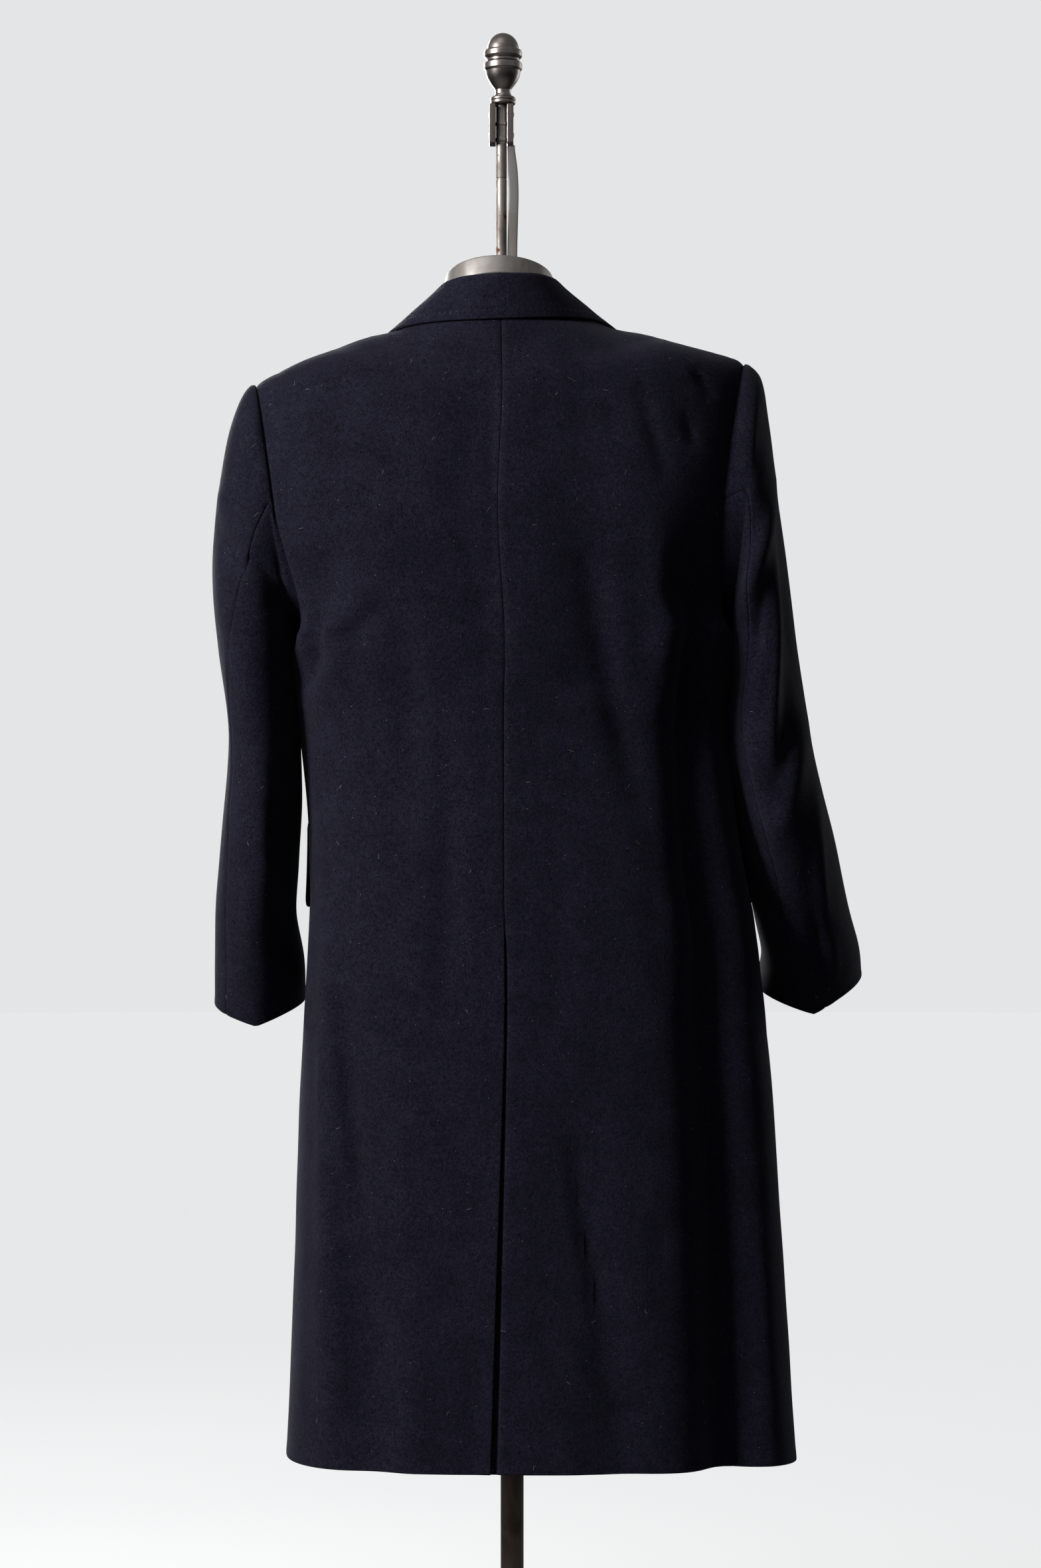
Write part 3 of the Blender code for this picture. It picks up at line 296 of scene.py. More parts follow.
# ---- collar
CollarColumn = namedtuple("CollarColumn", "foot_height foot_angle fold_out fold_up edge_height edge_angle")
COLLAR_COLUMNS = (
    #            foot height, angle  fold out, up  edge height, angle
    CollarColumn(9.00,   0,          -5.0, 35.0,   8.78,   0),
    CollarColumn(9.00,  30,          -6.5, 33.0,   8.76,  30),
    CollarColumn(9.00,  60,         -13.0, 27.5,   8.70,  59),
    CollarColumn(9.00,  90,         -17.5, 22.0,   8.60,  88),
    CollarColumn(9.00, 108,         -15.0, 16.0,   8.32, 107),
    CollarColumn(8.98, 122,          -9.0, 12.0,   8.06, 122),
    CollarColumn(8.75, 139,          -3.5,  9.0,   7.94, 134),
    CollarColumn(8.40, 152,          -0.5,  7.0,   7.92, 145),
    CollarColumn(8.06, 159,           0.0,  6.0,   7.90, 155),
)
COLLAR_FOLD_RADIUS = 2.6
COLLAR_FOOT_GAP = 1.3
COLLAR_BULGE = 1.2

# ---- flaps and buttons
FLAP_HEIGHT = (2.84, 3.42)  # rings
FLAP_ANGLES = (95.0, 139.0)
FLAP_FLARE = 3.0
FLAP_RISE = CLOTH + REST_GAP
FLAP_CORNER = 14.0
WELT_WIDTH = 6.0
BUTTON_DIAMETER = 30.0
BUTTON_THICKNESS = 4.0
BUTTON_HOLE_RADIUS = 1.15
BUTTON_HOLE_OFFSET = 2.5
Button = namedtuple("Button", "height gap")
BUTTONS = (Button(5.22, 0.6), Button(4.42, 1.4), Button(3.62, 0.9))
BUTTONHOLE_LENGTH = 30.0

# ---- dress form
FORM_BOTTOM = 2.35          # rings
ARM_PLATE_X = 188.0         # half width between the flat arm plates
SHOULDER_CAP = 20.0         # the form's shoulders reach this far past the plates
NECK_CENTRE = (12.7, 6.0)
NECK_RINGS = ((54.0, 26.0), (50.0, 12.0), (50.0, 0.0))     # radius, depth below the cap
NECK_TILT = math.radians(18.0)
CAP_RADIUS = 52.5
CAP_HEIGHT = 20.0
CAP_TOP_Z = 1528.0
CONTACT_GAP = 0.3
FORM_SEAMS = (0.0, 34.0, 90.0, 146.0, 180.0, 214.0, 270.0, 326.0)   # degrees

# ---- stand and handle
POLE_DIAMETER = 22.0
POLE_JOINT = 420.0          # height at which the pole's lower tube ends
BASE_RADIUS = 190.0
BASE_EDGE = 12.0
BASE_CROWN = 26.0
BOSS_RADIUS = 30.0
BOSS_TOP = 62.0
ROD_X = 10.5
ROD_Y = 6.0
ROD_DIAMETER = 10.4
PLATE_BOTTOM_Z = 1660.0
PLATE_TOP_Z = 1698.2
PLATE_THICKNESS = 6.2
PLATE_DEPTH = 20.0
WASHER_BOTTOM_Z = 1698.5
WASHER_THICKNESS = 8.0
WASHER_DIAMETER = 24.8
FINIAL_X = 9.0
STRAP_WIDTH = 9.6
STRAP_THICKNESS = 2.5


# ==== surface of the coat
def eased(left, right, slope_left, slope_right, part):
    """From left to right in a smooth curve that has the two slopes at its ends."""
    square, cube = part ** 2, part ** 3
    return ((2 * cube - 3 * square + 1) * left + (cube - 2 * square + part) * slope_left
        + (3 * square - 2 * cube) * right + (cube - square) * slope_right)


def catmull_rom(rows, position):
    """Read a smooth curve through rows (one per whole number) at each position."""
    rows = np.asarray(rows, float)
    position = np.clip(np.asarray(position, float), 0.0, len(rows) - 1.0)
    start = np.minimum(position.astype(int), len(rows) - 2)
    part = position - start
    last = len(rows) - 1
    before, after = np.maximum(start - 1, 0), np.minimum(start + 2, last)
    span_left = np.where(start > 0, 2.0, 1.0)
    span_right = np.where(start + 2 <= last, 2.0, 1.0)
    if rows.ndim > 1:
        part, span_left, span_right = part[..., None], span_left[..., None], span_right[..., None]
    left, right = rows[start], rows[start + 1]
    slope_left = (right - rows[before]) / span_left
    slope_right = (rows[after] - left) / span_right
    return eased(left, right, slope_left, slope_right, part)


RING_COLUMNS = {name: np.array([getattr(ring, name) for ring in COAT_RINGS], float)
                for name in Ring._fields if name != "name"}


def ring_value(name, height):
    return catmull_rom(RING_COLUMNS[name], height)


def smooth_step(value, low=0.0, high=1.0):
    part = np.clip((np.asarray(value, float) - low) / (high - low), 0.0, 1.0)
    return part * part * (3.0 - 2.0 * part)


def unit(vectors):
    return vectors / np.maximum(np.linalg.norm(vectors, axis=-1, keepdims=True), 1e-12)


def fold_depth(height, angle):
    """How far the folds move the cloth outwards."""
    total = np.zeros(np.broadcast(height, angle).shape)
    for fold in COAT_FOLDS:
        part = np.clip((height - fold.bottom) / (fold.top - fold.bottom), 0.0, 1.0)
        centre = fold.angle_bottom + (fold.angle_top - fold.angle_bottom) * part
        depth = fold.depth_bottom + (fold.depth_top - fold.depth_bottom) * part
        fade = np.clip((1.0 - part) * 4.0, 0.0, 1.0)
        fade = fade * np.clip((height - fold.bottom) * 5.0, 0.0, 1.0)
        total = total + depth * fade * np.exp(-((angle - centre) / fold.width) ** 2)
    return total


def coat_point(height, angle, folded=True):
    """Point on the outer side of the coat, at a height in rings and an angle in degrees."""
    height, angle = np.broadcast_arrays(np.asarray(height, float), np.asarray(angle, float))
    turn = np.radians(angle)
    square = ring_value("squareness", height)
    across = (np.sin(turn) + square * np.sin(3 * turn)) / (1 - square)
    along = (np.cos(turn) - square * np.cos(3 * turn)) / (1 - square)
    half_width = ring_value("half_width", height)
    at_back = np.cos(turn) > 0
    depth = np.where(at_back, ring_value("depth_back", height), ring_value("depth_front", height))
    z_end = np.where(at_back, ring_value("z_back", height), ring_value("z_front", height))
    z_side = ring_value("z_side", height)
    out_x, out_y = depth * across, half_width * along
    move = fold_depth(height, angle) / np.hypot(out_x, out_y) if folded else 0.0
    x = ring_value("centre_x", height) + half_width * across + out_x * move
    y = depth * along + out_y * move
    z = z_side + (z_end - z_side) * np.cos(turn) ** 2
    z = z - ring_value("lean", height) * (x - LEAN_CENTRE)
    return np.stack([x, y, z], axis=-1)


def coat_normal(height, angle, folded=True):
    """Outward normal of the coat's surface."""
    height, angle = np.broadcast_arrays(np.asarray(height, float), np.asarray(angle, float))
    low, high = np.clip(height - 0.02, 0, NECKLINE), np.clip(height + 0.02, 0, NECKLINE)
    up = coat_point(high, angle, folded) - coat_point(low, angle, folded)
    around = coat_point(height, angle + 0.5, folded) - coat_point(height, angle - 0.5, folded)
    return unit(np.cross(up, around))


def degrees_across(width, height):
    """Angle of a width on the flat of the back or front, where the rings run along x."""
    square = ring_value("squareness", height)
    return np.degrees(width * (1 - square) / (ring_value("half_width", height) * (1 + 3 * square)))


def degrees_at_side(width, height):
    square = ring_value("squareness", height)
    return np.degrees(width * (1 - square) / (ring_value("depth_back", height) * (1 + 3 * square)))


def armhole_cut(height):
    """0 to 1: how deep the armhole cuts in at each height."""
    return np.clip(1.0 - (height - CHEST) ** 2, 0.0, 1.0) ** ARMHOLE_ROUNDNESS


def back_edge(height):
    """Angle of the back's edge at the side seam, armhole and shoulder seam."""
    return SIDE - ARMHOLE_BACK * armhole_cut(height) - degrees_at_side(SEAM_GAP / 2, height)


def front_edge(height):
    return SIDE + ARMHOLE_FRONT * armhole_cut(height) + degrees_at_side(SEAM_GAP / 2, height)


def armhole_curve(side, turn):
    """Point of the armhole at each turn: 0 under the arm, 90 behind, 180 on top."""
    bend = np.radians(turn)
    height = CHEST - np.cos(bend)
    cut = armhole_cut(height)
    angle = np.where(np.sin(bend) >= 0, SIDE - ARMHOLE_BACK * cut, SIDE + ARMHOLE_FRONT * cut)
    return coat_point(height, side * angle)


# ==== creases and unevenness
def nearest_on_route(points, route):
    """Distance from each point to a route of straight steps, and the place along it, 0 to 1."""
    best = np.full(points.shape[:-1], np.inf)
    place = np.zeros(points.shape[:-1])
    steps = len(route) - 1
    for number in range(steps):
        start, step = route[number], route[number + 1] - route[number]
        part = np.clip(((points - start) @ step) / (step @ step), 0.0, 1.0)
        distance = np.linalg.norm(points - start - part[..., None] * step, axis=-1)
        closer = distance < best
        best = np.where(closer, distance, best)
        place = np.where(closer, (number + part) / steps, place)
    return best, place


def crease_relief(part, points, facing):
    """How far the creases of one part of the coat move its cloth outwards."""
    total = np.zeros(facing.shape)
    for face, towards in (("back", facing), ("front", -facing)):
        shown = smooth_step(towards, 0.0, 0.3)
        for crease in CREASES[part, face]:
            corners = np.array(crease.route, float)
            route = catmull_rom(corners, np.linspace(0, len(corners) - 1, 6 * (len(corners) - 1) + 1))
            distance, place = nearest_on_route(points[..., (0, 2)], route)
            fade = np.sin(np.pi * place) ** 0.7
            total += crease.depth * fade * shown * np.exp(-(distance / crease.width) ** 2)
    return total


def uneven(points, height):
    """Soft unevenness that all cloth has: a few long waves laid over each other."""
    draw = np.random.RandomState(WAVE_SEED)
    total = np.zeros(points.shape[:-1])
    for _ in range(WAVE_COUNT):
        length = draw.uniform(*WAVE_LENGTHS)
        direction = unit(draw.normal(size=3) * np.array([1.0, 0.6, 0.45]))
        phase = draw.uniform(0.0, 2 * np.pi)
        wave = np.sin(2 * np.pi * (points @ direction) / length + phase)
        total += wave * length / WAVE_LENGTHS[1]
    return total * height / math.sqrt(WAVE_COUNT)


def settled(points):
    """Points of the coat after its shoulders have settled on the form."""
    across, rise = np.array(SHOULDER_SETTLE, float).T
    lift = np.interp(points[..., 0], across, rise) * smooth_step(points[..., 2], *SETTLE_HEIGHTS)
    return points + lift[..., None] * np.array([0.0, 0.0, 1.0])


def side_fullness(points, normals):
    """How much fuller the sides hang than the form under them."""
    total = np.zeros(points.shape[:-1])
    for side, table in ((1.0, LEFT_FULLNESS), (-1.0, RIGHT_FULLNESS)):
        heights, fullness = np.array(table, float).T
        facing = smooth_step(side * normals[..., 0], 0.3, 0.9)
        total += np.interp(points[..., 2], heights, fullness) * facing
    return total


def body_relief(points, normals, height, settings):
    """Creases and unevenness of the body; both die out at the armholes and under the collar."""
    relief = crease_relief("coat", points, normals[..., 1]) * settings.crease_strength
    relief = relief + side_fullness(points, normals)
    relief = relief + uneven(points, settings.unevenness / MM)
    turns = np.arange(0.0, 360.0, 6.0)
    nearest = np.full(relief.shape, np.inf)
    for side in (1.0, -1.0):
        for point in armhole_curve(side, turns):
            nearest = np.minimum(nearest, np.linalg.norm(points - point, axis=-1))
    relief = relief * smooth_step(nearest, 0.0, RELIEF_FADE_WIDTH)
    return relief * smooth_step(NECKLINE - height, 0.15, 0.75)


def body_layer(height, angle, rise, settings):
    """Worn outer surface of the body, lifted by rise, and its normals."""
    points = coat_point(height, angle)
    normals = coat_normal(height, angle)
    relief = body_relief(points, normals, np.broadcast_to(height, points.shape[:-1]), settings)
    lift = np.broadcast_to(rise, relief.shape) + relief
    return points + normals * lift[..., None], normals


# ==== grids and walls
def spread_columns(surface, start, end, count):
    """Places across a strip on each of its rows, even along the cloth and closer at its edges.

    surface gives points for parameters, one row of them for each row of the strip. Returns the
    parameters, their distances from the start and each row's whole width."""
    sweep = np.linspace(0.0, 1.0, 161)[None, :]
    dense = start + (end - start) * sweep
    points = surface(dense)
    steps = np.linalg.norm(np.diff(points, axis=1), axis=-1)
    distance = np.concatenate([np.zeros((len(steps), 1)), np.cumsum(steps, axis=1)], axis=1)
    total = distance[:, -1:]
    margin = np.minimum(EDGE_STEPS[-1], total * 0.22)
    low = EDGE_STEPS[None, :] * margin / EDGE_STEPS[-1]
    high = total - low[:, ::-1]
    first, last = low[:, -1:], high[:, :1]
    even = np.linspace(0.0, 1.0, count + 2)[None, 1:-1]
    wanted = np.concatenate([low, first + (last - first) * even, high], axis=1)
    place = np.stack([np.interp(wanted[row], distance[row], sweep[0]) for row in range(len(wanted))])
    return start + (end - start) * place, wanted, total


def cover(low, high, step):
    """Even numbers from low to high, about a step apart, both ends included."""
    return np.linspace(low, high, max(2, int(round((high - low) / step)) + 1))


def edge_share(distance):
    """Share of the wall's thickness at a distance from its edge, for a rounded edge."""
    part = np.clip(np.asarray(distance, float) / EDGE_RADIUS, 0.0, 1.0)
    return 0.5 + 0.5 * np.sqrt(1.0 - (1.0 - part) ** 2)


def turned_share(distance):
    """How much thicker a finished edge is, where the cloth is turned under."""
    return 1.0 + TURNED_EXTRA * smooth_step(TURNED_WIDTH + 1.0 - np.asarray(distance, float), 0.0, 2.6)


def seam_relief(distance):
    """A sewn seam sinks in, and the pressed allowances make a low ridge beside it."""
    distance = np.asarray(distance, float)
    return -0.65 * np.exp(-(distance / 1.5) ** 2) + 0.32 * np.exp(-((distance - 7.0) / 4.0) ** 2)


def add_object(name, data):
    """New object in the scene."""
    item = bpy.data.objects.new(name, data)
    bpy.context.scene.collection.objects.link(item)
    return item


def add_piece(name, mesh, *finishes):
    for finish in finishes:
        mesh.materials.append(material(finish))
    mesh.shade_smooth()
    return add_object(name, mesh)


def mesh_of(name, shape):
    """The mesh of a finished bmesh."""
    mesh = bpy.data.meshes.new(name)
    shape.to_mesh(mesh)
    shape.free()
    return mesh


def declare(piece, node=None):
    """Every piece rides on the root; some stand for a solid."""
    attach(piece, "root")
    if node:
        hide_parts(node)


def cloth_wall(name, outer, inner, finishes, keep=None, lined=None, threads=None):
    """Closed wall between two grids of points; keep says which cells are cloth.

    lined says which cells show lining inside, and threads gives each point's place along and
    across the thread, in millimetres, for the cloth's pattern."""
    rows, columns = outer.shape[:2]
    keep = np.ones((rows - 1, columns - 1), bool) if keep is None else keep
    lined = np.zeros((rows - 1, columns - 1), bool) if lined is None else lined
    size = rows * columns
    corner = (np.arange(rows - 1)[:, None] * columns + np.arange(columns - 1)[None, :])
    ring = np.stack([corner, corner + 1, corner + columns + 1, corner + columns], axis=-1)
    outside = ring[keep]
    inside = outside[:, ::-1] + size
    padded = np.pad(keep, 1)
    rims = []
    for (row_step, column_step), (a, b) in (((-1, 0), (0, 1)), ((0, 1), (1, 2)),
            ((1, 0), (2, 3)), ((0, -1), (3, 0))):
        beside = padded[1 + row_step:rows + row_step, 1 + column_step:columns + column_step]
        open_edge = ring[keep & ~beside]
        start, end = open_edge[:, a], open_edge[:, b]
        rims.append(np.stack([end, start, start + size, end + size], axis=-1))
    faces = np.concatenate([outside, inside] + rims)
    finish = np.zeros(len(faces), int)
    finish[len(outside):2 * len(outside)] = lined[keep]
    points = np.concatenate([outer.reshape(-1, 3), inner.reshape(-1, 3)]) * MM
    mesh = bpy.data.meshes.new(name)
    mesh.from_pydata(points.tolist(), [], faces.tolist())
    mesh.polygons.foreach_set("material_index", finish)
    if threads is not None:
        flat = np.tile(threads.reshape(-1, 2), (2, 1)) * MM
        layer = mesh.uv_layers.new(name="threads")
        layer.data.foreach_set("uv", flat[faces.ravel()].ravel())
    shape = bmesh.new()
    shape.from_mesh(mesh)
    loose = [point for point in shape.verts if not point.link_faces]
    bmesh.ops.delete(shape, geom=loose, context="VERTS")
    bmesh.ops.recalc_face_normals(shape, faces=shape.faces)
    shape.to_mesh(mesh)
    shape.free()
    return add_piece(name, mesh, *finishes)


def declare_cloth(piece):
    """Every cloth piece stands for its solid and is a sheet of its own cut."""
    node = piece.name.removesuffix("_cloth")
    declare(piece, node)


def rounded(profile, radius, steps=4):
    """Fillets the corners of a profile of (radius, height) points."""
    points = [np.array(point, float) for point in profile]
    result = [points[0]]
    for before, here, after in zip(points, points[1:], points[2:]):
        into, out = here - before, after - here
        bend = math.acos(np.clip(unit(into) @ unit(out), -1.0, 1.0))
        if bend < math.radians(22):
            result.append(here)
            continue
        cut = min(radius * math.tan(bend / 2), 0.45 * np.linalg.norm(into), 0.45 * np.linalg.norm(out))
        first, last = here - unit(into) * cut, here + unit(out) * cut
        for part in np.linspace(0.0, 1.0, steps):
            result.append((1 - part) ** 2 * first + 2 * part * (1 - part) * here + part ** 2 * last)
    result.append(points[-1])
    return result


def lathe(name, profile, centre, finish, steps=96, rotation=(0.0, 0.0, 0.0)):
    """Solid of revolution; the profile runs down its outer side from the top of the axis."""
    turns = np.arange(steps) * 2 * np.pi / steps
    rings = [point for point in profile if point[0] > 1e-6]
    points = [(0.0, 0.0, profile[0][1])]
    for radius, height in rings:
        points += [(radius * math.cos(turn), radius * math.sin(turn), height) for turn in turns]
    points.append((0.0, 0.0, profile[-1][1]))
    faces = []
    for row in range(len(rings) - 1):
        for step in range(steps):
            upper, following = 1 + row * steps, (step + 1) % steps
            lower = upper + steps
            faces.append((upper + step, lower + step, lower + following, upper + following))
    last = 1 + (len(rings) - 1) * steps
    for step in range(steps):
        following = (step + 1) % steps
        faces.append((0, 1 + step, 1 + following))
        faces.append((len(points) - 1, last + following, last + step))
    mesh = bpy.data.meshes.new(name)
    mesh.from_pydata(points, [], faces)
    turn = Euler(rotation).to_matrix().to_4x4()
    mesh.transform(Matrix.Scale(MM, 4) @ Matrix.Translation(centre) @ turn)
    mesh.update()
    piece = add_piece(name, mesh, finish)
    mesh.set_sharp_from_angle(angle=math.radians(40))
    return piece


# ==== node trees
class Graph:
    """Adds nodes to a tree; an input that is given a socket is linked, any other is set."""

    def __init__(self, tree):
        self.tree = tree
        self.count = 0

    def add(self, kind, inputs=None, **settings):
        node = self.tree.nodes.new(kind)
        node.location = (230 * (self.count // 4), -280 * (self.count % 4))
        self.count += 1
        for key, value in settings.items():
            setattr(node, key, value)
        for key, value in (inputs or {}).items():
            if isinstance(value, bpy.types.NodeSocket):
                self.tree.links.new(value, node.inputs[key])
            else:
                node.inputs[key].default_value = value
        return node

    def maths(self, operation, first, second=0.0, clamp=False):
        return self.add("ShaderNodeMath", {0: first, 1: second}, operation=operation,
            use_clamp=clamp).outputs[0]

    def times(self, first, second):
        return self.maths("MULTIPLY", first, second)

    def plus(self, first, second, clamp=False):
        return self.maths("ADD", first, second, clamp)

    def minus(self, first, second, clamp=False):
        return self.maths("SUBTRACT", first, second, clamp)

    def place(self):
        """Place on the object, in metres."""
        return self.add("ShaderNodeTexCoord").outputs["Object"]

    def threads(self):
        """Place along and across the cloth's threads, in metres."""
        return self.add("ShaderNodeUVMap", uv_map="threads").outputs["UV"]

    def noise(self, vector, scale, detail=2.0, roughness=0.5, distortion=0.0):
        return self.add("ShaderNodeTexNoise", {"Vector": vector, "Scale": scale, "Detail": detail,
            "Roughness": roughness, "Distortion": distortion}).outputs["Fac"]

    def span(self, value, low, high, to_low=0.0, to_high=1.0):
        return self.add("ShaderNodeMapRange", {"Value": value, "From Min": low, "From Max": high,
            "To Min": to_low, "To Max": to_high}, interpolation_type="SMOOTHSTEP").outputs["Result"]

    def blend(self, factor, first, second, blend_type="MIX"):
        return self.add("ShaderNodeMix", {0: factor, 6: first, 7: second}, data_type="RGBA",
            blend_type=blend_type).outputs[2]

    def stretch(self, vector, scale, rotation=(0.0, 0.0, 0.0)):
        return self.add("ShaderNodeMapping", {"Vector": vector, "Scale": scale,
            "Rotation": rotation}).outputs["Vector"]


def tree_sockets(tree, direction, sockets):
    for name, kind, default in sockets:
        socket = tree.interface.new_socket(name=name, in_out=direction, socket_type=kind)
        if default is not None:
            socket.default_value = default


def shader_group(name, inputs, outputs):
    """A node group, with its graph, its inputs by name and its output node."""
    tree = bpy.data.node_groups.new(name, "ShaderNodeTree")
    tree_sockets(tree, "INPUT", inputs)
    tree_sockets(tree, "OUTPUT", outputs)
    graph = Graph(tree)
    return graph, graph.add("NodeGroupInput").outputs, graph.add("NodeGroupOutput").inputs


def fetch_group(name, build):
    return bpy.data.node_groups.get(name) or build(name)


def build_lint(name):
    """Short bent fibres and specks, scattered one to a cell over the cloth's thread coordinates."""
    graph, given, result = shader_group(name,
        (("Threads", "NodeSocketVector", None), ("Cells per Metre", "NodeSocketFloat", 40.0),
        ("Amount", "NodeSocketFloat", 0.3), ("Fibre Length", "NodeSocketFloat", 0.003),
        ("Fibre Width", "NodeSocketFloat", 0.00022)), (("Fibres", "NodeSocketFloat", None),))
    cell = graph.add("ShaderNodeTexVoronoi", {"Vector": given["Threads"], "Scale": given["Cells per Metre"],
        "Randomness": 1.0}, voronoi_dimensions="2D")
    offset = graph.add("ShaderNodeVectorMath", {0: given["Threads"], 1: cell.outputs["Position"]},
        operation="SUBTRACT")
    chance = graph.add("ShaderNodeSeparateColor", {"Color": cell.outputs["Color"]}).outputs
    turned = graph.add("ShaderNodeVectorRotate",
        {"Vector": offset.outputs[0], "Angle": graph.times(chance[0], 6.283)}, rotation_type="Z_AXIS")
    across, along, _ = graph.add("ShaderNodeSeparateXYZ", {"Vector": turned.outputs[0]}).outputs
    bend = graph.times(graph.minus(chance[1], 0.5), 260.0)
    curved = graph.plus(across, graph.times(graph.maths("POWER", along, 2.0), bend))
    off_line = graph.maths("DIVIDE", graph.maths("ABSOLUTE", curved), given["Fibre Width"])
    off_middle = graph.maths("DIVIDE", graph.maths("ABSOLUTE", along), given["Fibre Length"])
    reach = graph.times(graph.span(off_line, 0.4, 1.0, 1.0, 0.0),
        graph.span(off_middle, 0.8, 1.0, 1.0, 0.0))
    chosen = graph.maths("LESS_THAN", chance[2], given["Amount"])
    graph.tree.links.new(graph.times(reach, chosen), result["Fibres"])
    return graph.tree


def build_weave(name):
    """Plain weave: threads over and under each other, with slubs in their thickness."""
    graph, given, result = shader_group(name,
        (("Threads", "NodeSocketVector", None), ("Threads per Metre", "NodeSocketFloat", 900.0),
        ("Slub", "NodeSocketFloat", 0.4)),
        (("Height", "NodeSocketFloat", None), ("Tone", "NodeSocketFloat", None)))
    along, up, _ = graph.add("ShaderNodeSeparateXYZ", {"Vector": given["Threads"]}).outputs
    turns = graph.times(given["Threads per Metre"], math.pi)
    warp = graph.times(along, turns)
    weft = graph.times(up, turns)
    over = graph.times(graph.maths("SINE", warp), graph.maths("SINE", weft))
    rib_warp = graph.maths("ABSOLUTE", graph.maths("COSINE", warp))
    rib_weft = graph.maths("ABSOLUTE", graph.maths("COSINE", weft))
    woven = graph.plus(graph.times(over, 0.5), graph.times(graph.maths("MINIMUM", rib_warp, rib_weft), 0.5))
    slub_warp = graph.noise(graph.stretch(given["Threads"], (700.0, 30.0, 1.0)), 1.0)
    slub_weft = graph.noise(graph.stretch(given["Threads"], (30.0, 700.0, 1.0)), 1.0)
    slub = graph.minus(graph.maths("MAXIMUM", slub_warp, slub_weft), 0.5)
    height = graph.plus(woven, graph.times(slub, given["Slub"]))
    graph.tree.links.new(height, result["Height"])
    tone = graph.plus(graph.times(slub, given["Slub"]), 0.5, clamp=True)
    graph.tree.links.new(tone, result["Tone"])
    return graph.tree


def build_metal_wear(name):
    """Rust in patches and pits, dull smears and fine scratches, as masks and a height."""
    graph, given, result = shader_group(name,
        (("Vector", "NodeSocketVector", None), ("Scale", "NodeSocketFloat", 60.0),
        ("Rust Amount", "NodeSocketFloat", 0.3)),
        (("Rust", "NodeSocketFloat", None), ("Smear", "NodeSocketFloat", None),
        ("Scratches", "NodeSocketFloat", None), ("Height", "NodeSocketFloat", None)))
    scaled = graph.add("ShaderNodeVectorMath", {0: given["Vector"], 3: given["Scale"]},
        operation="SCALE").outputs[0]
    broad = graph.noise(scaled, 1.0, detail=5.0, roughness=0.62, distortion=0.4)
    pits = graph.noise(scaled, 7.5, detail=3.0, roughness=0.7)
    both = graph.plus(broad, graph.times(graph.minus(pits, 0.5), 0.35))
    edge = graph.minus(0.86, graph.times(given["Rust Amount"], 0.5))
    rust = graph.span(graph.minus(both, edge), -0.03, 0.05)
    smear = graph.noise(graph.stretch(scaled, (1.0, 1.0, 0.35)), 0.8, detail=4.0, roughness=0.55,
        distortion=0.8)
    scratches = graph.noise(graph.stretch(scaled, (1.5, 1.5, 40.0)), 1.0, detail=2.0, roughness=0.6)
    height = graph.plus(graph.times(rust, graph.plus(pits, 0.2)), graph.times(pits, 0.25))
    for socket, value in (("Rust", rust), ("Smear", smear), ("Scratches", scratches), ("Height", height)):
        graph.tree.links.new(value, result[socket])
    return graph.tree


def new_material(name, **constants):
    """A material with one Principled BSDF; constants are set on its own sockets."""
    made = bpy.data.materials.new(name)
    made.use_nodes = True
    surface = made.node_tree.nodes["Principled BSDF"]
    surface.location = (2300, 0)
    made.node_tree.nodes["Material Output"].location = (2600, 0)
    for socket, value in constants.items():
        surface.inputs[socket.replace("_", " ").title().replace("Ior", "IOR")].default_value = value
    return made, Graph(made.node_tree), surface


def finish_surface(graph, surface, height, strength, distance, **links):
    """Feeds a height to the normal through a bump, and links the other inputs by name."""
    bump = graph.add("ShaderNodeBump", {"Height": height, "Strength": strength, "Distance": distance})
    graph.tree.links.new(bump.outputs["Normal"], surface.inputs["Normal"])
    for socket, value in links.items():
        graph.tree.links.new(value, surface.inputs[socket.replace("_", " ").title()])


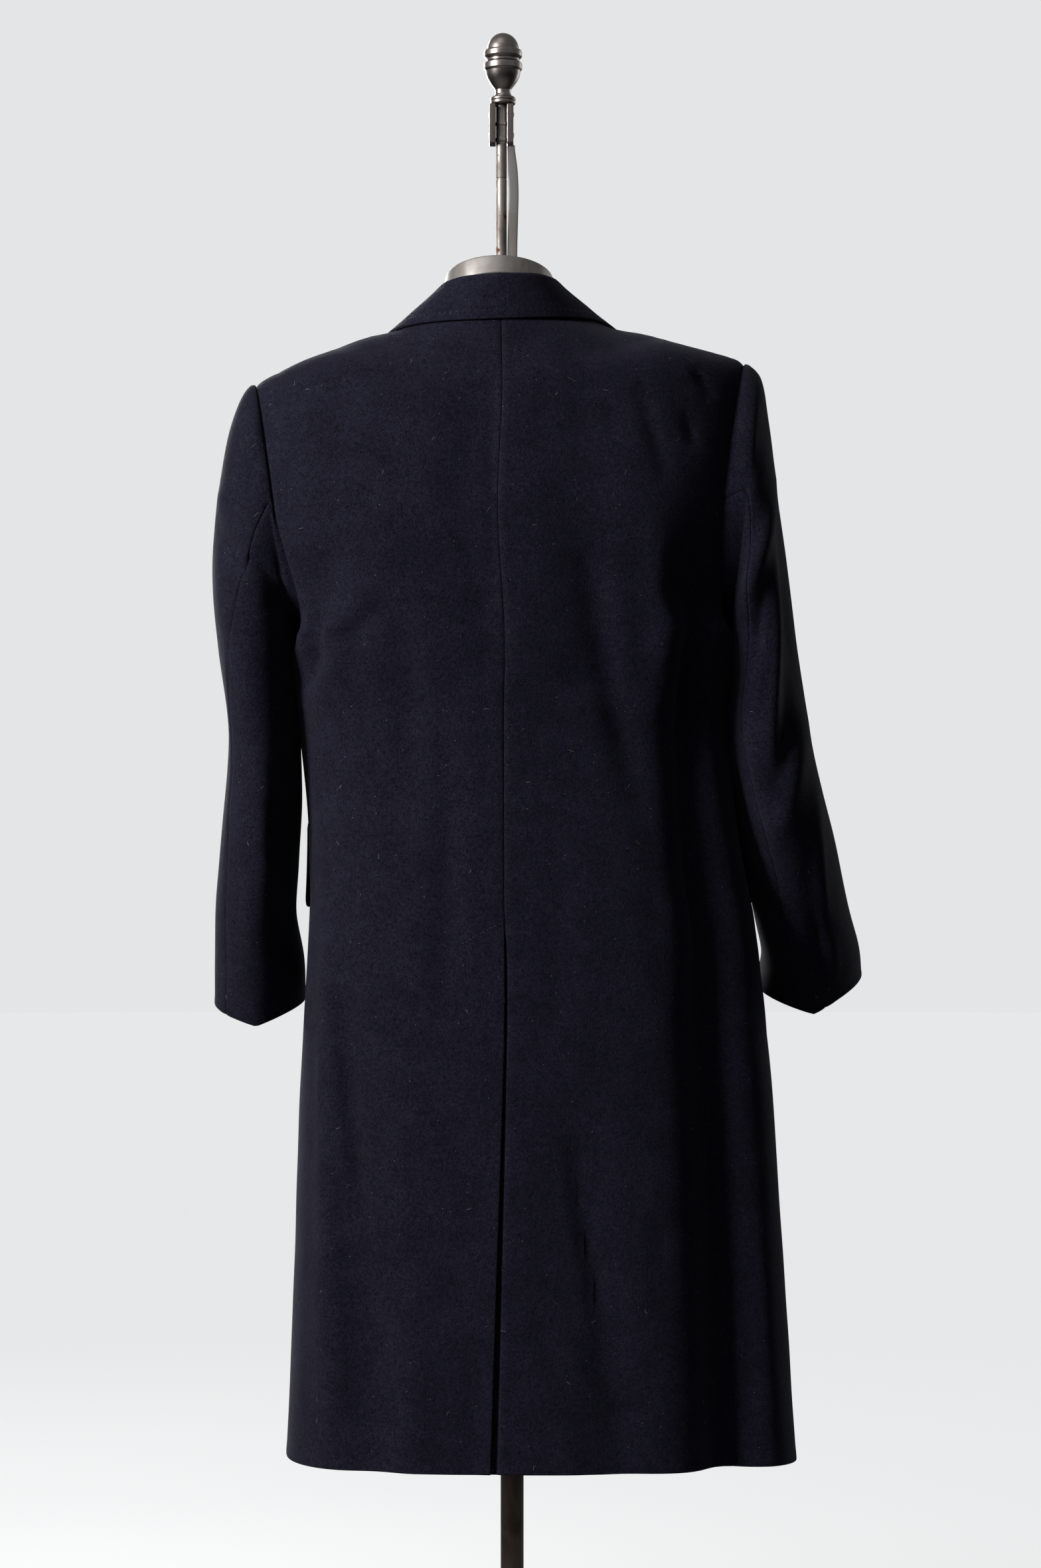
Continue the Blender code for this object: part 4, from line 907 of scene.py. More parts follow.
def make_wool():
    """Napped melton: dark navy, heathered with blue, violet and brown hairs, with pale lint on it."""
    settings = bpy.context.scene.overcoat_finish
    made, graph, surface = new_material(
        "napped_navy_wool", roughness=0.95, specular_ior_level=0.05, sheen_weight=settings.wool_sheen,
        sheen_roughness=0.42, sheen_tint=(0.80, 0.80, 1.0, 1.0))
    place = graph.place()
    threads = graph.threads()
    nap = graph.noise(graph.stretch(place, (1.0, 1.0, 0.55)), 900.0, detail=3.0, roughness=0.7)
    curl = graph.noise(place, 330.0, detail=4.0, roughness=0.68, distortion=1.2)
    cloud = graph.noise(place, 34.0, detail=3.0, roughness=0.6)
    tint = graph.noise(place, 520.0, detail=2.0, roughness=0.6)
    dark = (*settings.wool_dark, 1.0)
    light = (*settings.wool_light, 1.0)
    mottle = graph.plus(graph.times(nap, 0.5), graph.times(curl, 0.5))
    colour = graph.blend(graph.span(mottle, 0.36, 0.66), dark, light)
    colour = graph.blend(graph.span(tint, 0.60, 0.72, 0.0, 0.55), colour, (0.014, 0.0095, 0.014, 1.0))
    colour = graph.blend(graph.span(tint, 0.40, 0.30, 0.0, 0.5), colour, (0.0075, 0.0095, 0.024, 1.0))
    shade = graph.span(cloud, 0.3, 0.7, 0.86, 1.14)
    shade_colour = graph.add("ShaderNodeCombineColor", {0: shade, 1: shade, 2: shade}).outputs[0]
    colour = graph.blend(1.0, colour, shade_colour, blend_type="MULTIPLY")
    lint = fetch_group("lint on cloth", build_lint)
    fibres = graph.add("ShaderNodeGroup", {"Threads": threads, "Cells per Metre": 46.0,
        "Amount": settings.lint_amount * 0.6, "Fibre Length": 0.0024,
        "Fibre Width": 0.00024}, node_tree=lint).outputs["Fibres"]
    specks = graph.add("ShaderNodeGroup", {"Threads": threads, "Cells per Metre": 95.0,
        "Amount": settings.lint_amount * 0.7, "Fibre Length": 0.00045,
        "Fibre Width": 0.00032}, node_tree=lint).outputs["Fibres"]
    flecks = graph.maths("MAXIMUM", graph.times(fibres, 0.55), graph.times(specks, 0.75))
    colour = graph.blend(flecks, colour, (*settings.lint_colour, 1.0))
    height = graph.plus(graph.times(nap, 0.6), graph.times(curl, 0.9))
    finish_surface(graph, surface, height, 0.75, 0.0011, base_color=colour)
    return made


def make_lining():
    """Satin lining inside the coat."""
    made, graph, surface = new_material(
        "satin_lining", roughness=0.38, specular_ior_level=0.5, sheen_weight=0.15, sheen_roughness=0.3)
    place = graph.place()
    threads = graph.threads()
    weave = graph.add("ShaderNodeGroup", {"Threads": threads, "Threads per Metre": 2400.0, "Slub": 0.2},
        node_tree=fetch_group("plain weave", build_weave))
    cloud = graph.noise(place, 22.0, detail=3.0)
    colour = graph.blend(graph.span(cloud, 0.3, 0.7), (0.0075, 0.0085, 0.016, 1.0),
        (0.013, 0.015, 0.027, 1.0))
    rough = graph.span(weave.outputs["Tone"], 0.3, 0.7, 0.32, 0.46)
    finish_surface(graph, surface, weave.outputs["Height"], 0.3, 0.0001, base_color=colour, roughness=rough)
    return made


def make_linen():
    """Coarse unbleached linen on the dress form."""
    settings = bpy.context.scene.overcoat_finish
    made, graph, surface = new_material(
        "unbleached_linen", roughness=0.9, specular_ior_level=0.25, sheen_weight=0.12, sheen_roughness=0.5)
    place = graph.place()
    threads = graph.threads()
    weave = graph.add("ShaderNodeGroup", {"Threads": threads, "Threads per Metre": 1050.0, "Slub": 0.9},
        node_tree=fetch_group("plain weave", build_weave))
    light = (*settings.linen_colour, 1.0)
    dark = (*[value * 0.66 for value in settings.linen_colour], 1.0)
    age = graph.noise(place, 9.0, detail=5.0, roughness=0.6)
    colour = graph.blend(graph.span(weave.outputs["Tone"], 0.32, 0.68), dark, light)
    colour = graph.blend(graph.span(age, 0.5, 0.8, 0.0, 0.35), colour, (0.25, 0.19, 0.12, 1.0))
    finish_surface(graph, surface, weave.outputs["Height"], 0.6, 0.0003, base_color=colour)
    return made


def make_metal(name):
    """Old bare metal: smeared and scratched, with rust that takes its shine away."""
    bare, dull, rust_colour, rust_share, scale, roughness, metallic, bump = METALS[name]
    rust = bpy.context.scene.overcoat_finish.rust_amount * rust_share
    made, graph, surface = new_material(name, specular_ior_level=0.5)
    place = graph.place()
    wear = graph.add("ShaderNodeGroup", {"Vector": place, "Scale": scale, "Rust Amount": rust},
        node_tree=fetch_group("metal wear", build_metal_wear)).outputs
    colour = graph.blend(graph.span(wear["Smear"], 0.32, 0.68), (*bare, 1.0), (*dull, 1.0))
    colour = graph.blend(graph.span(wear["Scratches"], 0.62, 0.8, 0.0, 0.35), colour,
        (*[min(1.0, value * 1.8) for value in bare], 1.0))
    colour = graph.blend(wear["Rust"], colour, (*rust_colour, 1.0))
    smooth = graph.span(wear["Smear"], 0.25, 0.75, roughness - 0.09, roughness + 0.13)
    rough = graph.plus(smooth, graph.times(wear["Rust"], 0.35), clamp=True)
    metal = graph.minus(metallic, graph.times(wear["Rust"], metallic * 0.85), clamp=True)
    finish_surface(graph, surface, wear["Height"], bump, 0.0004, base_color=colour, roughness=rough,
        metallic=metal)
    return made


def make_horn():
    """Dark horn: brown-black with paler streaks, half polished."""
    made, graph, surface = new_material("dark_horn", specular_ior_level=0.35, coat_weight=0.04,
        coat_roughness=0.35)
    place = graph.place()
    streaks = graph.noise(graph.stretch(place, (70.0, 70.0, 260.0), (0.0, 0.5, 0.3)), 1.0, detail=4.0,
        distortion=1.6)
    fine = graph.noise(place, 1400.0, detail=2.0)
    colour = graph.blend(graph.span(streaks, 0.42, 0.72), (0.008, 0.007, 0.008, 1.0),
        (0.050, 0.033, 0.023, 1.0))
    rough = graph.span(fine, 0.3, 0.7, 0.42, 0.58)
    height = graph.plus(fine, streaks)
    finish_surface(graph, surface, height, 0.12, 0.0002, base_color=colour, roughness=rough)
    return made


def make_thread():
    """Twisted silk thread, navy, with painted shade in the grooves of its twist and a painted highlight on
    its ridges.
    """
    made, graph, surface = new_material("silk_thread", roughness=0.6, sheen_weight=0.05)
    place = graph.place()
    twist = graph.add("ShaderNodeTexWave",
        {"Vector": graph.stretch(place, (1.0, 1.0, 1.0), (0.6, 0.6, 0.0)),
        "Scale": 520.0, "Distortion": 2.0}).outputs["Fac"]
    # painted shade and highlight: the colour follows the twist's bump, darker in its grooves and paler on
    # its ridges
    colour = graph.blend(twist, (0.005, 0.005, 0.010, 1.0), (0.014, 0.014, 0.025, 1.0))
    finish_surface(graph, surface, twist, 0.4, 0.0002, base_color=colour)
    return made


Metal = namedtuple("Metal", "bare dull rust_colour rust_share scale roughness metallic bump")
RUST = (0.105, 0.042, 0.020)
METALS = {
    "rusty_rod_steel": Metal((0.25, 0.228, 0.212), (0.150, 0.126, 0.112), RUST, 1.0, 75.0, 0.56, 0.9, 0.5),
    "cap_steel": Metal((0.215, 0.20, 0.188), (0.145, 0.13, 0.118), RUST, 0.55, 48.0, 0.56, 0.9, 0.4),
    "browned_steel": Metal((0.20, 0.178, 0.168), (0.125, 0.104, 0.094), RUST, 0.2, 60.0, 0.36, 1.0, 0.18),
    "dark_pole_steel": Metal((0.075, 0.058, 0.048), (0.038, 0.027, 0.021), RUST, 0.3,
                             60.0, 0.42, 0.9, 0.25),
    "black_cast_iron": Metal((0.032, 0.032, 0.034), (0.020, 0.019, 0.019), (0.060, 0.030, 0.018), 0.35,
                             26.0, 0.58, 0.6, 0.8),
}
FINISHES = {"napped_navy_wool": make_wool, "satin_lining": make_lining, "unbleached_linen": make_linen,
            "dark_horn": make_horn, "silk_thread": make_thread}


def material(name):
    """The finish of this name, made the first time that it is asked for."""
    made = bpy.data.materials.get(name)
    return made or (make_metal(name) if name in METALS else FINISHES[name]())


# ==== pieces of the coat
WOOL_AND_LINING = ("napped_navy_wool", "satin_lining")


def panel_rows(settings):
    """Heights of the rows that backs and fronts share, in rings, close together at the hem."""
    step = settings.grid_step / MM
    hem = EDGE_STEPS / SKIRT_RING
    skirt = cover(hem[-1], 2.0, step / SKIRT_RING)[1:]
    vent_top = cover(2.0, VENT_TOP, step / VENT_RING)[1:]
    upper = cover(VENT_TOP, UNDERARM, step / CHEST_RING)[1:]
    armhole = CHEST - np.cos(np.radians(np.arange(0.0, 180.1, 3.0)))[1:]
    yoke = cover(SHOULDER, NECKLINE, step / YOKE_RING)[1:]
    return np.concatenate([hem, skirt, vent_top, upper, armhole, yoke])


def hem_distance(height):
    return np.asarray(height, float) * SKIRT_RING


def thread_places(points, distance):
    """Along and across the thread: the distance round the body and the height."""
    return np.stack([distance, points[..., 2]], axis=-1)


def finish_wall(name, surface, normals, half, lined, distance, keep=None):
    """Wall whose outer side, at full thickness, is the given surface."""
    middle = settled(surface - normals * (CLOTH / 2))
    outer, inner = middle + normals * half[..., None], middle - normals * half[..., None]
    inside = lined[1:, 1:] & lined[:-1, :-1]
    return cloth_wall(name + "_cloth", outer, inner, WOOL_AND_LINING, keep=keep, lined=inside,
        threads=thread_places(surface, distance))


def make_back_left(settings):
    height = panel_rows(settings)[:, None]
    start = ring_value("seam_angle", height) + degrees_across(SEAM_GAP / 2, height)
    count = int(215.0 / (settings.grid_step / MM))
    angle, left, width = spread_columns(lambda angles: coat_point(height, angles), start,
        back_edge(height), count)
    right = width - left
    hem = np.broadcast_to(hem_distance(height), left.shape)
    sewn = smooth_step(height, VENT_TOP - 0.02, VENT_TOP + 0.06)
    curl = 1.3 * (1.0 - sewn) * smooth_step(VENT_TOP - height, 0.1, 2.4) * np.exp(-(left / 13.0) ** 2)
    rise = seam_relief(left) * sewn + seam_relief(right) + curl
    surface, normals = body_layer(height, angle, rise, settings)
    turned = np.maximum(turned_share(hem), 1.0 + (turned_share(left) - 1.0) * (1.0 - sewn))
    half = CLOTH / 2 * edge_share(np.minimum(np.minimum(left, right), hem)) * turned
    lined = (hem > HEM_TURN) & (left > 6.0 + 30.0 * (1.0 - sewn))
    return finish_wall("back_left", surface, normals, half, lined, left)


def make_back_right(settings):
    """The right back ends at the centre seam; below the vent's top it folds in behind the left."""
    height = panel_rows(settings)[:, None]
    in_vent = height < VENT_TOP - 1e-6
    down = np.clip((VENT_TOP - height) / VENT_TOP, 0.0, 1.0)
    dip = VENT_DIP[0] + (VENT_DIP[1] - VENT_DIP[0]) * smooth_step(down, 0.0, 0.15)
    crease = VENT_GAP[0] + (VENT_GAP[1] - VENT_GAP[0]) * down ** 0.75
    crease = np.maximum(crease, VENT_GAP[0] + dip * smooth_step(down, 0.0, 0.06))
    end = ring_value("seam_angle", height) - degrees_across(np.where(in_vent, crease, SEAM_GAP / 2), height)
    count = int(225.0 / (settings.grid_step / MM))
    angle, side, width = spread_columns(lambda angles: coat_point(height, angles), -back_edge(height),
        end, count)
    seam = width - side
    laps = np.concatenate([np.linspace(0.4, 4.0, 9), cover(5.0, VENT_UNDERLAP - 4.0, 6.0),
        VENT_UNDERLAP - EDGE_STEPS[4::-1]])[None, :]
    body_columns = angle.shape[1]
    angle = np.concatenate([angle, end + degrees_across(laps, height)], axis=1)
    sewn = 1.0 - in_vent
    rise = seam_relief(side) + seam_relief(seam) * sewn - 0.5 * (1 - sewn) * np.exp(-(seam / 1.6) ** 2)
    step_in = -0.5 * (1 - sewn) - VENT_DEPTH * smooth_step(laps / dip)
    rise = np.concatenate([rise, step_in], axis=1)
    surface, normals = body_layer(height, angle, rise, settings)
    hem = np.broadcast_to(hem_distance(height), angle.shape)
    from_edge = np.concatenate([np.where(in_vent, 99.0, seam), np.broadcast_to(VENT_UNDERLAP - laps,
        (len(height), laps.size))], axis=1)
    across = np.concatenate([side, width + np.broadcast_to(laps, (len(height), laps.size))], axis=1)
    half = CLOTH / 2 * edge_share(np.minimum(np.minimum(from_edge, across), hem))
    half = half * np.where(across < width + 2.0, turned_share(hem), 1.0)
    keep = np.ones((len(height) - 1, angle.shape[1] - 1), bool)
    keep[height[1:, 0] > VENT_TOP + 1e-6, body_columns - 1:] = False
    lined = (hem > HEM_TURN) & (from_edge > 6.0)
    return finish_wall("back_right", surface, normals, half, lined, across, keep=keep)


def roll_angle(height):
    """Angle of the front's free edge: the lap below the break, the roll line above it."""
    lap = 180.0 + degrees_across(FRONT_LAP, height)
    lap_at_break = 180.0 + degrees_across(FRONT_LAP, BREAK)
    rolled = np.interp(height, [BREAK] + [point.height for point in ROLL_LINE],
        [lap_at_break] + [point.angle for point in ROLL_LINE])
    return np.where(height > BREAK, rolled, lap)


def front_rise(height, angle, overlapping):
    """The left front lies on the right one where they lap."""
    if not overlapping:
        return np.zeros(np.broadcast(height, angle).shape)
    start = roll_angle(height) - degrees_across(LAP_ZONE + LAP_RAMP, height)
    part = smooth_step((angle - start) / degrees_across(LAP_RAMP, height))
    fade = np.clip((LAP_FADE[1] - height) / (LAP_FADE[1] - LAP_FADE[0]), 0.0, 1.0)
    return LAP_RISE * part * fade


def welt_relief(height, angle):
    """Narrow welt that each pocket flap comes out of."""
    above = (height - FLAP_HEIGHT[1]) * 140.0 - 1.0
    ridge = smooth_step(above, -2.5, 0.0) * (1.0 - smooth_step(above, WELT_WIDTH, WELT_WIDTH + 1.6))
    groove = np.exp(-((above - WELT_WIDTH - 1.4) / 1.1) ** 2)
    inside = smooth_step(angle, FLAP_ANGLES[0] - 1.2, FLAP_ANGLES[0])
    inside = inside * (1.0 - smooth_step(angle, FLAP_ANGLES[1], FLAP_ANGLES[1] + 1.2))
    return (1.1 * ridge - 0.6 * groove) * inside


def make_front(name, side, settings):
    height = panel_rows(settings)[:, None]
    count = int(300.0 / (settings.grid_step / MM))
    angle, seam, width = spread_columns(lambda angles: coat_point(height, side * angles),
        front_edge(height), roll_angle(height), count)
    free = width - seam
    hem = np.broadcast_to(hem_distance(height), seam.shape)
    rolled = smooth_step(height, BREAK, BREAK + 0.12)
    rise = front_rise(height, angle, overlapping=side > 0) + seam_relief(seam) + welt_relief(height, angle)
    surface, normals = body_layer(height, side * angle, rise, settings)
    turned = np.maximum(turned_share(hem), 1.0 + (turned_share(free) - 1.0) * (1.0 - rolled))
    edge = np.minimum(np.minimum(seam, hem), free + 99.0 * rolled)
    half = CLOTH / 2 * edge_share(edge) * turned
    lined = (hem > HEM_TURN) & (free > FACING_WIDTH)
    return finish_wall(name, surface, normals, half, lined, seam)


def make_lapel(name, side, start, settings):
    """The front's edge rolled over and turned back, from the break up to the gorge."""
    step = settings.grid_step / MM
    rows = cover(start, LAPEL_TOP, step / 90.0)
    top = LAPEL_TOP - EDGE_STEPS[::-1] / LAPEL_RING
    height = np.concatenate([rows[rows < top[0] - 0.02], top])[:, None]
    width = catmull_rom(np.array([row.width for row in LAPEL_SHAPE], float),
        np.interp(height, [row.height for row in LAPEL_SHAPE], np.arange(len(LAPEL_SHAPE))))
    roll = roll_angle(height)
    even = np.linspace(0.0, 1.0, 18)[None, 1:-1]
    margin = np.minimum(EDGE_STEPS[-1], width * 0.4)
    flat = np.concatenate([(width - margin) * even, width - margin * EDGE_STEPS[::-1] / EDGE_STEPS[-1]],
        axis=1)
    arc = np.radians(np.linspace(-90.0, 90.0, 9))[None, :]
    radius = (CLOTH + LAPEL_GAP) / 2
    along = np.concatenate([-radius * np.cos(arc) * np.ones(height.shape), flat], axis=1)
    spot = np.concatenate([np.zeros((len(height), arc.size)), flat], axis=1)
    angle = roll - degrees_across(spot, height)
    base = front_rise(height, angle, overlapping=side > 0)
    points, normals = body_layer(height, side * angle, base, settings)
    outward = unit(coat_point(height, side * (angle + 0.5)) - coat_point(height, side * (angle - 0.5)))
    belly = LAPEL_ROLL * np.sin(np.pi * flat / width) * np.minimum(width / 40.0, 1.0)
    flat_rise = CLOTH / 2 + LAPEL_GAP + belly
    middle_rise = np.concatenate([-CLOTH / 2 + radius * (1 + np.sin(arc)) * np.ones(height.shape),
        flat_rise], axis=1)
    beyond = np.concatenate([radius * np.cos(arc) * np.ones(height.shape), np.zeros(flat.shape)], axis=1)
    middle = points + normals * middle_rise[..., None] + outward * beyond[..., None]
    lean = np.concatenate([np.cos(arc) * np.ones(height.shape), np.zeros(flat.shape)], axis=1)[..., None]
    rise = np.concatenate([np.sin(arc) * np.ones(height.shape), np.ones(flat.shape)], axis=1)[..., None]
    direction = unit(normals * rise + outward * lean)
    free = np.minimum(width - along, (LAPEL_TOP - height) * LAPEL_RING)
    half = (CLOTH / 2 * edge_share(free) * turned_share(free))[..., None]
    return cloth_wall(name + "_cloth", middle + direction * half, middle - direction * half,
        WOOL_AND_LINING, threads=thread_places(points, along))


def collar_controls(place):
    """Control points of the collar, from its foot over the fold to its edge, at places along it."""
    side = np.where(place < 0, -1.0, 1.0)

    def column(name):
        return catmull_rom(np.array([getattr(row, name) for row in COLLAR_COLUMNS], float), np.abs(place))

    up = np.array([0.0, 0.0, 1.0])
    foot_angle, foot_height = column("foot_angle") * side, column("foot_height")
    foot_normal = coat_normal(foot_height, foot_angle)
    outward = unit(foot_normal * np.array([1.0, 1.0, 0.0]))
    foot = coat_point(foot_height, foot_angle) + foot_normal * (CLOTH / 2 + COLLAR_FOOT_GAP)
    fold = foot + outward * column("fold_out")[:, None] + up * column("fold_up")[:, None]
    edge_height, edge_angle = column("edge_height"), column("edge_angle") * side
    edge = (coat_point(edge_height, edge_angle)
        + coat_normal(edge_height, edge_angle) * (CLOTH / 2 + REST_GAP))
    across = unit((edge - fold) * np.array([1.0, 1.0, 0.0]))
    inner_fold = fold - across * COLLAR_FOLD_RADIUS - up * COLLAR_FOLD_RADIUS
    outer_fold = fold + across * COLLAR_FOLD_RADIUS - up * COLLAR_FOLD_RADIUS
    middle = (outer_fold + edge) / 2 + unit(across + up) * COLLAR_BULGE
    return np.stack([foot, (foot + inner_fold) / 2, inner_fold, fold, outer_fold, middle, edge])


def make_collar(settings):
    """Stand and fall in one folded wall, from one lapel round the back of the neck to the other."""
    last = len(COLLAR_COLUMNS) - 1
    ends = EDGE_STEPS / 18.0
    place = np.concatenate([-last + ends, cover(-last + ends[-1], last - ends[-1], 0.16)[1:-1],
        last - ends[::-1]])
    controls = collar_controls(place)
    count = len(place)

    def surface(position):
        flat = controls.reshape(len(controls), -1)
        rows = [catmull_rom(flat, line).reshape(len(line), count, 3)[:, number]
            for number, line in enumerate(position)]
        return np.stack(rows)

    zero = np.zeros((count, 1))
    position, foot, width = spread_columns(surface, zero, zero + len(controls) - 1.0, 26)
    middle = surface(position).transpose(1, 0, 2)
    foot, edge = foot.T, (width - foot).T
    normals = unit(np.cross(np.gradient(middle, axis=1), np.gradient(middle, axis=0)))
    waves = uneven(middle, settings.unevenness / MM * 0.6)
    waves = waves * smooth_step(edge, 0.0, 12.0) * smooth_step(foot, 0.0, 12.0)
    middle = middle + normals * waves[..., None]
    along = np.abs(np.cumsum(np.linalg.norm(np.diff(middle[-1], axis=0, prepend=middle[-1][:1]), axis=1)))
    ends_away = np.minimum(along, along[-1] - along)[None, :]
    free = np.minimum(edge, ends_away)
    half = (CLOTH / 2 * edge_share(np.minimum(free, foot)) * turned_share(free))[..., None]
    threads = np.stack([np.broadcast_to(along[None, :], edge.shape), edge], axis=-1)
    return cloth_wall("collar_cloth", middle + normals * half, middle - normals * half,
        WOOL_AND_LINING, threads=threads)


def sleeve_rings(side, table, turn):
    """Points at each turn (0 under the arm, 90 behind, 180 on top) on the armhole and every ring."""
    bend = np.radians(turn)
    armhole = armhole_curve(side, turn)
    part = (1 - np.cos(bend)) / 2
    rings = []
    sharper = np.where(np.sin(bend) > 0, np.abs(np.sin(bend)) ** 0.9 - 1.0 + np.abs(np.cos(bend)), 0.0)
    for number, row in enumerate(table, 1 - len(table)):
        x = row.inner_x + (row.outer_x - row.inner_x) * part
        y = row.centre_y + row.depth / 2 * np.sign(np.sin(bend)) * np.abs(np.sin(bend)) ** 0.9
        z = row.inner_z + (row.outer_z - row.inner_z) * part - row.tilt * (y - row.centre_y)
        z = z + CUFF_POINT.get(number, 0.0) * row.tilt * row.depth / 2 * sharper
        rings.append(np.stack([x * side, y, z], axis=-1))
    return np.stack([armhole + unit(rings[0] - armhole) * SLEEVE_START] + rings)


def sleeve_point(side, table, along, turn):
    """Point on the sleeve's outer side; along counts rings from the armhole."""
    along, turn = np.broadcast_arrays(np.asarray(along, float), np.asarray(turn, float))
    rings = sleeve_rings(side, table, turn.ravel())
    place = along.ravel()
    last = len(rings) - 1
    start = np.clip(place.astype(int), 0, last - 1)
    part = (place - start)[:, None]
    column = np.arange(len(place))
    left, right = rings[start, column], rings[start + 1, column]
    slope_left = (right - rings[np.maximum(start - 1, 0), column]) / np.where(start > 0, 2.0, 1.0)[:, None]
    slope_right = ((rings[np.minimum(start + 2, last), column] - left)
        / np.where(start + 2 <= last, 2.0, 1.0)[:, None])
    points = eased(left, right, slope_left, slope_right, part)
    return points.reshape(along.shape + (3,))


def sleeve_normal(side, table, along, turn):
    last = len(table)
    low, high = np.clip(along - 0.02, 0, last), np.clip(along + 0.02, 0, last)
    down = sleeve_point(side, table, high, turn) - sleeve_point(side, table, low, turn)
    around = sleeve_point(side, table, along, turn + 1.0) - sleeve_point(side, table, along, turn - 1.0)
    return unit(np.cross(around, down)) * side


def make_sleeve(side_name, side, table, settings):
    last = float(len(table))
    cuff = last - EDGE_STEPS[::-1] / CUFF_RING
    head = np.array([0.0, 0.02, 0.06, 0.12, 0.22, 0.36, 0.52, 0.7, 0.85])
    middle_rows = cover(1.0, cuff[0], settings.grid_step / MM / SLEEVE_RING)[:-1]
    along = np.concatenate([head, middle_rows, cuff])[:, None]
    seam_row = ARMHOLE_STEP * SLEEVE_BACK_SEAM
    back_seam = catmull_rom(np.array([seam_row, seam_row] + [row.seam for row in table[1:]], float), along)
    front_seam = ARMHOLE_STEP * SLEEVE_FRONT_SEAM
    gap = SLEEVE_SEAM_GAP / 2
    pieces = []
    for prefix, start, end in (("under_sleeve_", front_seam, back_seam),
            ("upper_sleeve_", back_seam, front_seam + 360.0)):
        first, final = start + gap + 0.0 * along, end - gap + 0.0 * along
        count = int((end - start).max() * SLEEVE_MM_PER_DEGREE / (settings.grid_step / MM))
        turn, left, width = spread_columns(lambda turns: sleeve_point(side, table, along, turns),
            first, final, count)
        right = width - left
        places = np.broadcast_to(along, turn.shape)
        points = sleeve_point(side, table, places, turn)
        normals = sleeve_normal(side, table, places, turn)
        relief = crease_relief("sleeve_" + side_name, points, normals[..., 1]) * settings.crease_strength
        relief = (relief + uneven(points, settings.unevenness / MM * 1.2)) * smooth_step(along, 0.0, 0.8)
        from_cuff = (last - places) * CUFF_RING
        fold_line = -0.4 * np.exp(-((from_cuff - CUFF_FOLD) / 1.4) ** 2)
        rise = relief + seam_relief(left) + seam_relief(right) + fold_line
        proud = CLOTH * smooth_step(along, 0.0, 0.5)
        surface = points + normals * (rise + proud)[..., None]
        edge = np.minimum(np.minimum(left, right), from_cuff)
        half = CLOTH / 2 * edge_share(np.minimum(edge, places * SLEEVE_RING)) * turned_share(from_cuff)
        pieces.append(finish_wall(prefix + side_name, surface, normals, half, from_cuff > CUFF_TURN, left))
    return pieces


def make_flap(name, side, settings):
    step = settings.grid_step / MM
    count = int(190.0 / step)
    base_height = np.full((1, 1), FLAP_HEIGHT[0])
    angle, left, width = spread_columns(lambda angles: coat_point(base_height, side * angles),
        np.full((1, 1), FLAP_ANGLES[0]), np.full((1, 1), FLAP_ANGLES[1]), count)
    side_away = np.minimum(left, width - left)
    inside = np.clip(FLAP_CORNER - side_away, 0.0, FLAP_CORNER)
    corner = FLAP_CORNER - np.sqrt(FLAP_CORNER ** 2 - inside ** 2)
    drop = (FLAP_HEIGHT[1] - FLAP_HEIGHT[0]) * FLAP_RING
    rows = np.concatenate([EDGE_STEPS, cover(EDGE_STEPS[-1], drop - EDGE_STEPS[4], step)[1:-1],
        drop - EDGE_STEPS[4::-1]])[:, None] / drop
    below = corner + (drop - corner) * rows
    height = FLAP_HEIGHT[0] + below / FLAP_RING
    swing = below / drop
    top_away = (1.0 - rows) * drop
    rise = FLAP_RISE + FLAP_FLARE * (1.0 - swing) - 1.4 * (1.0 - smooth_step(top_away, 0.0, 5.0))
    angle = np.broadcast_to(angle, height.shape)
    surface, normals = body_layer(height, side * angle, rise, settings)
    free = np.minimum(side_away, rows * drop)
    half = CLOTH / 2 * edge_share(np.minimum(free, top_away)) * turned_share(free)
    return finish_wall(name, surface, normals, half, np.zeros(half.shape, bool),
        np.broadcast_to(left, half.shape))


# ==== buttons, thread and stitches
def applied(piece):
    """The piece with its modifiers made part of its mesh."""
    depsgraph = bpy.context.evaluated_depsgraph_get()
    mesh = bpy.data.meshes.new_from_object(piece.evaluated_get(depsgraph), depsgraph=depsgraph)
    mesh.name = piece.name
    old = piece.data
    made = add_object(piece.name, mesh)
    name = piece.name
    bpy.data.objects.remove(piece)
    if isinstance(old, bpy.types.Mesh):
        bpy.data.meshes.remove(old)
    made.name = name
    return made


def button_place(button, settings):
    """Where a button sits and which way it faces, as a matrix in millimetres."""
    height, angle = np.array([[button.height]]), np.array([[180.0]])
    surface, normal = body_layer(height, angle, LAP_RISE + button.gap, settings)
    turn = Vector(normal[0, 0]).to_track_quat("Z", "Y").to_matrix().to_4x4()
    return Matrix.Translation(surface[0, 0]) @ turn


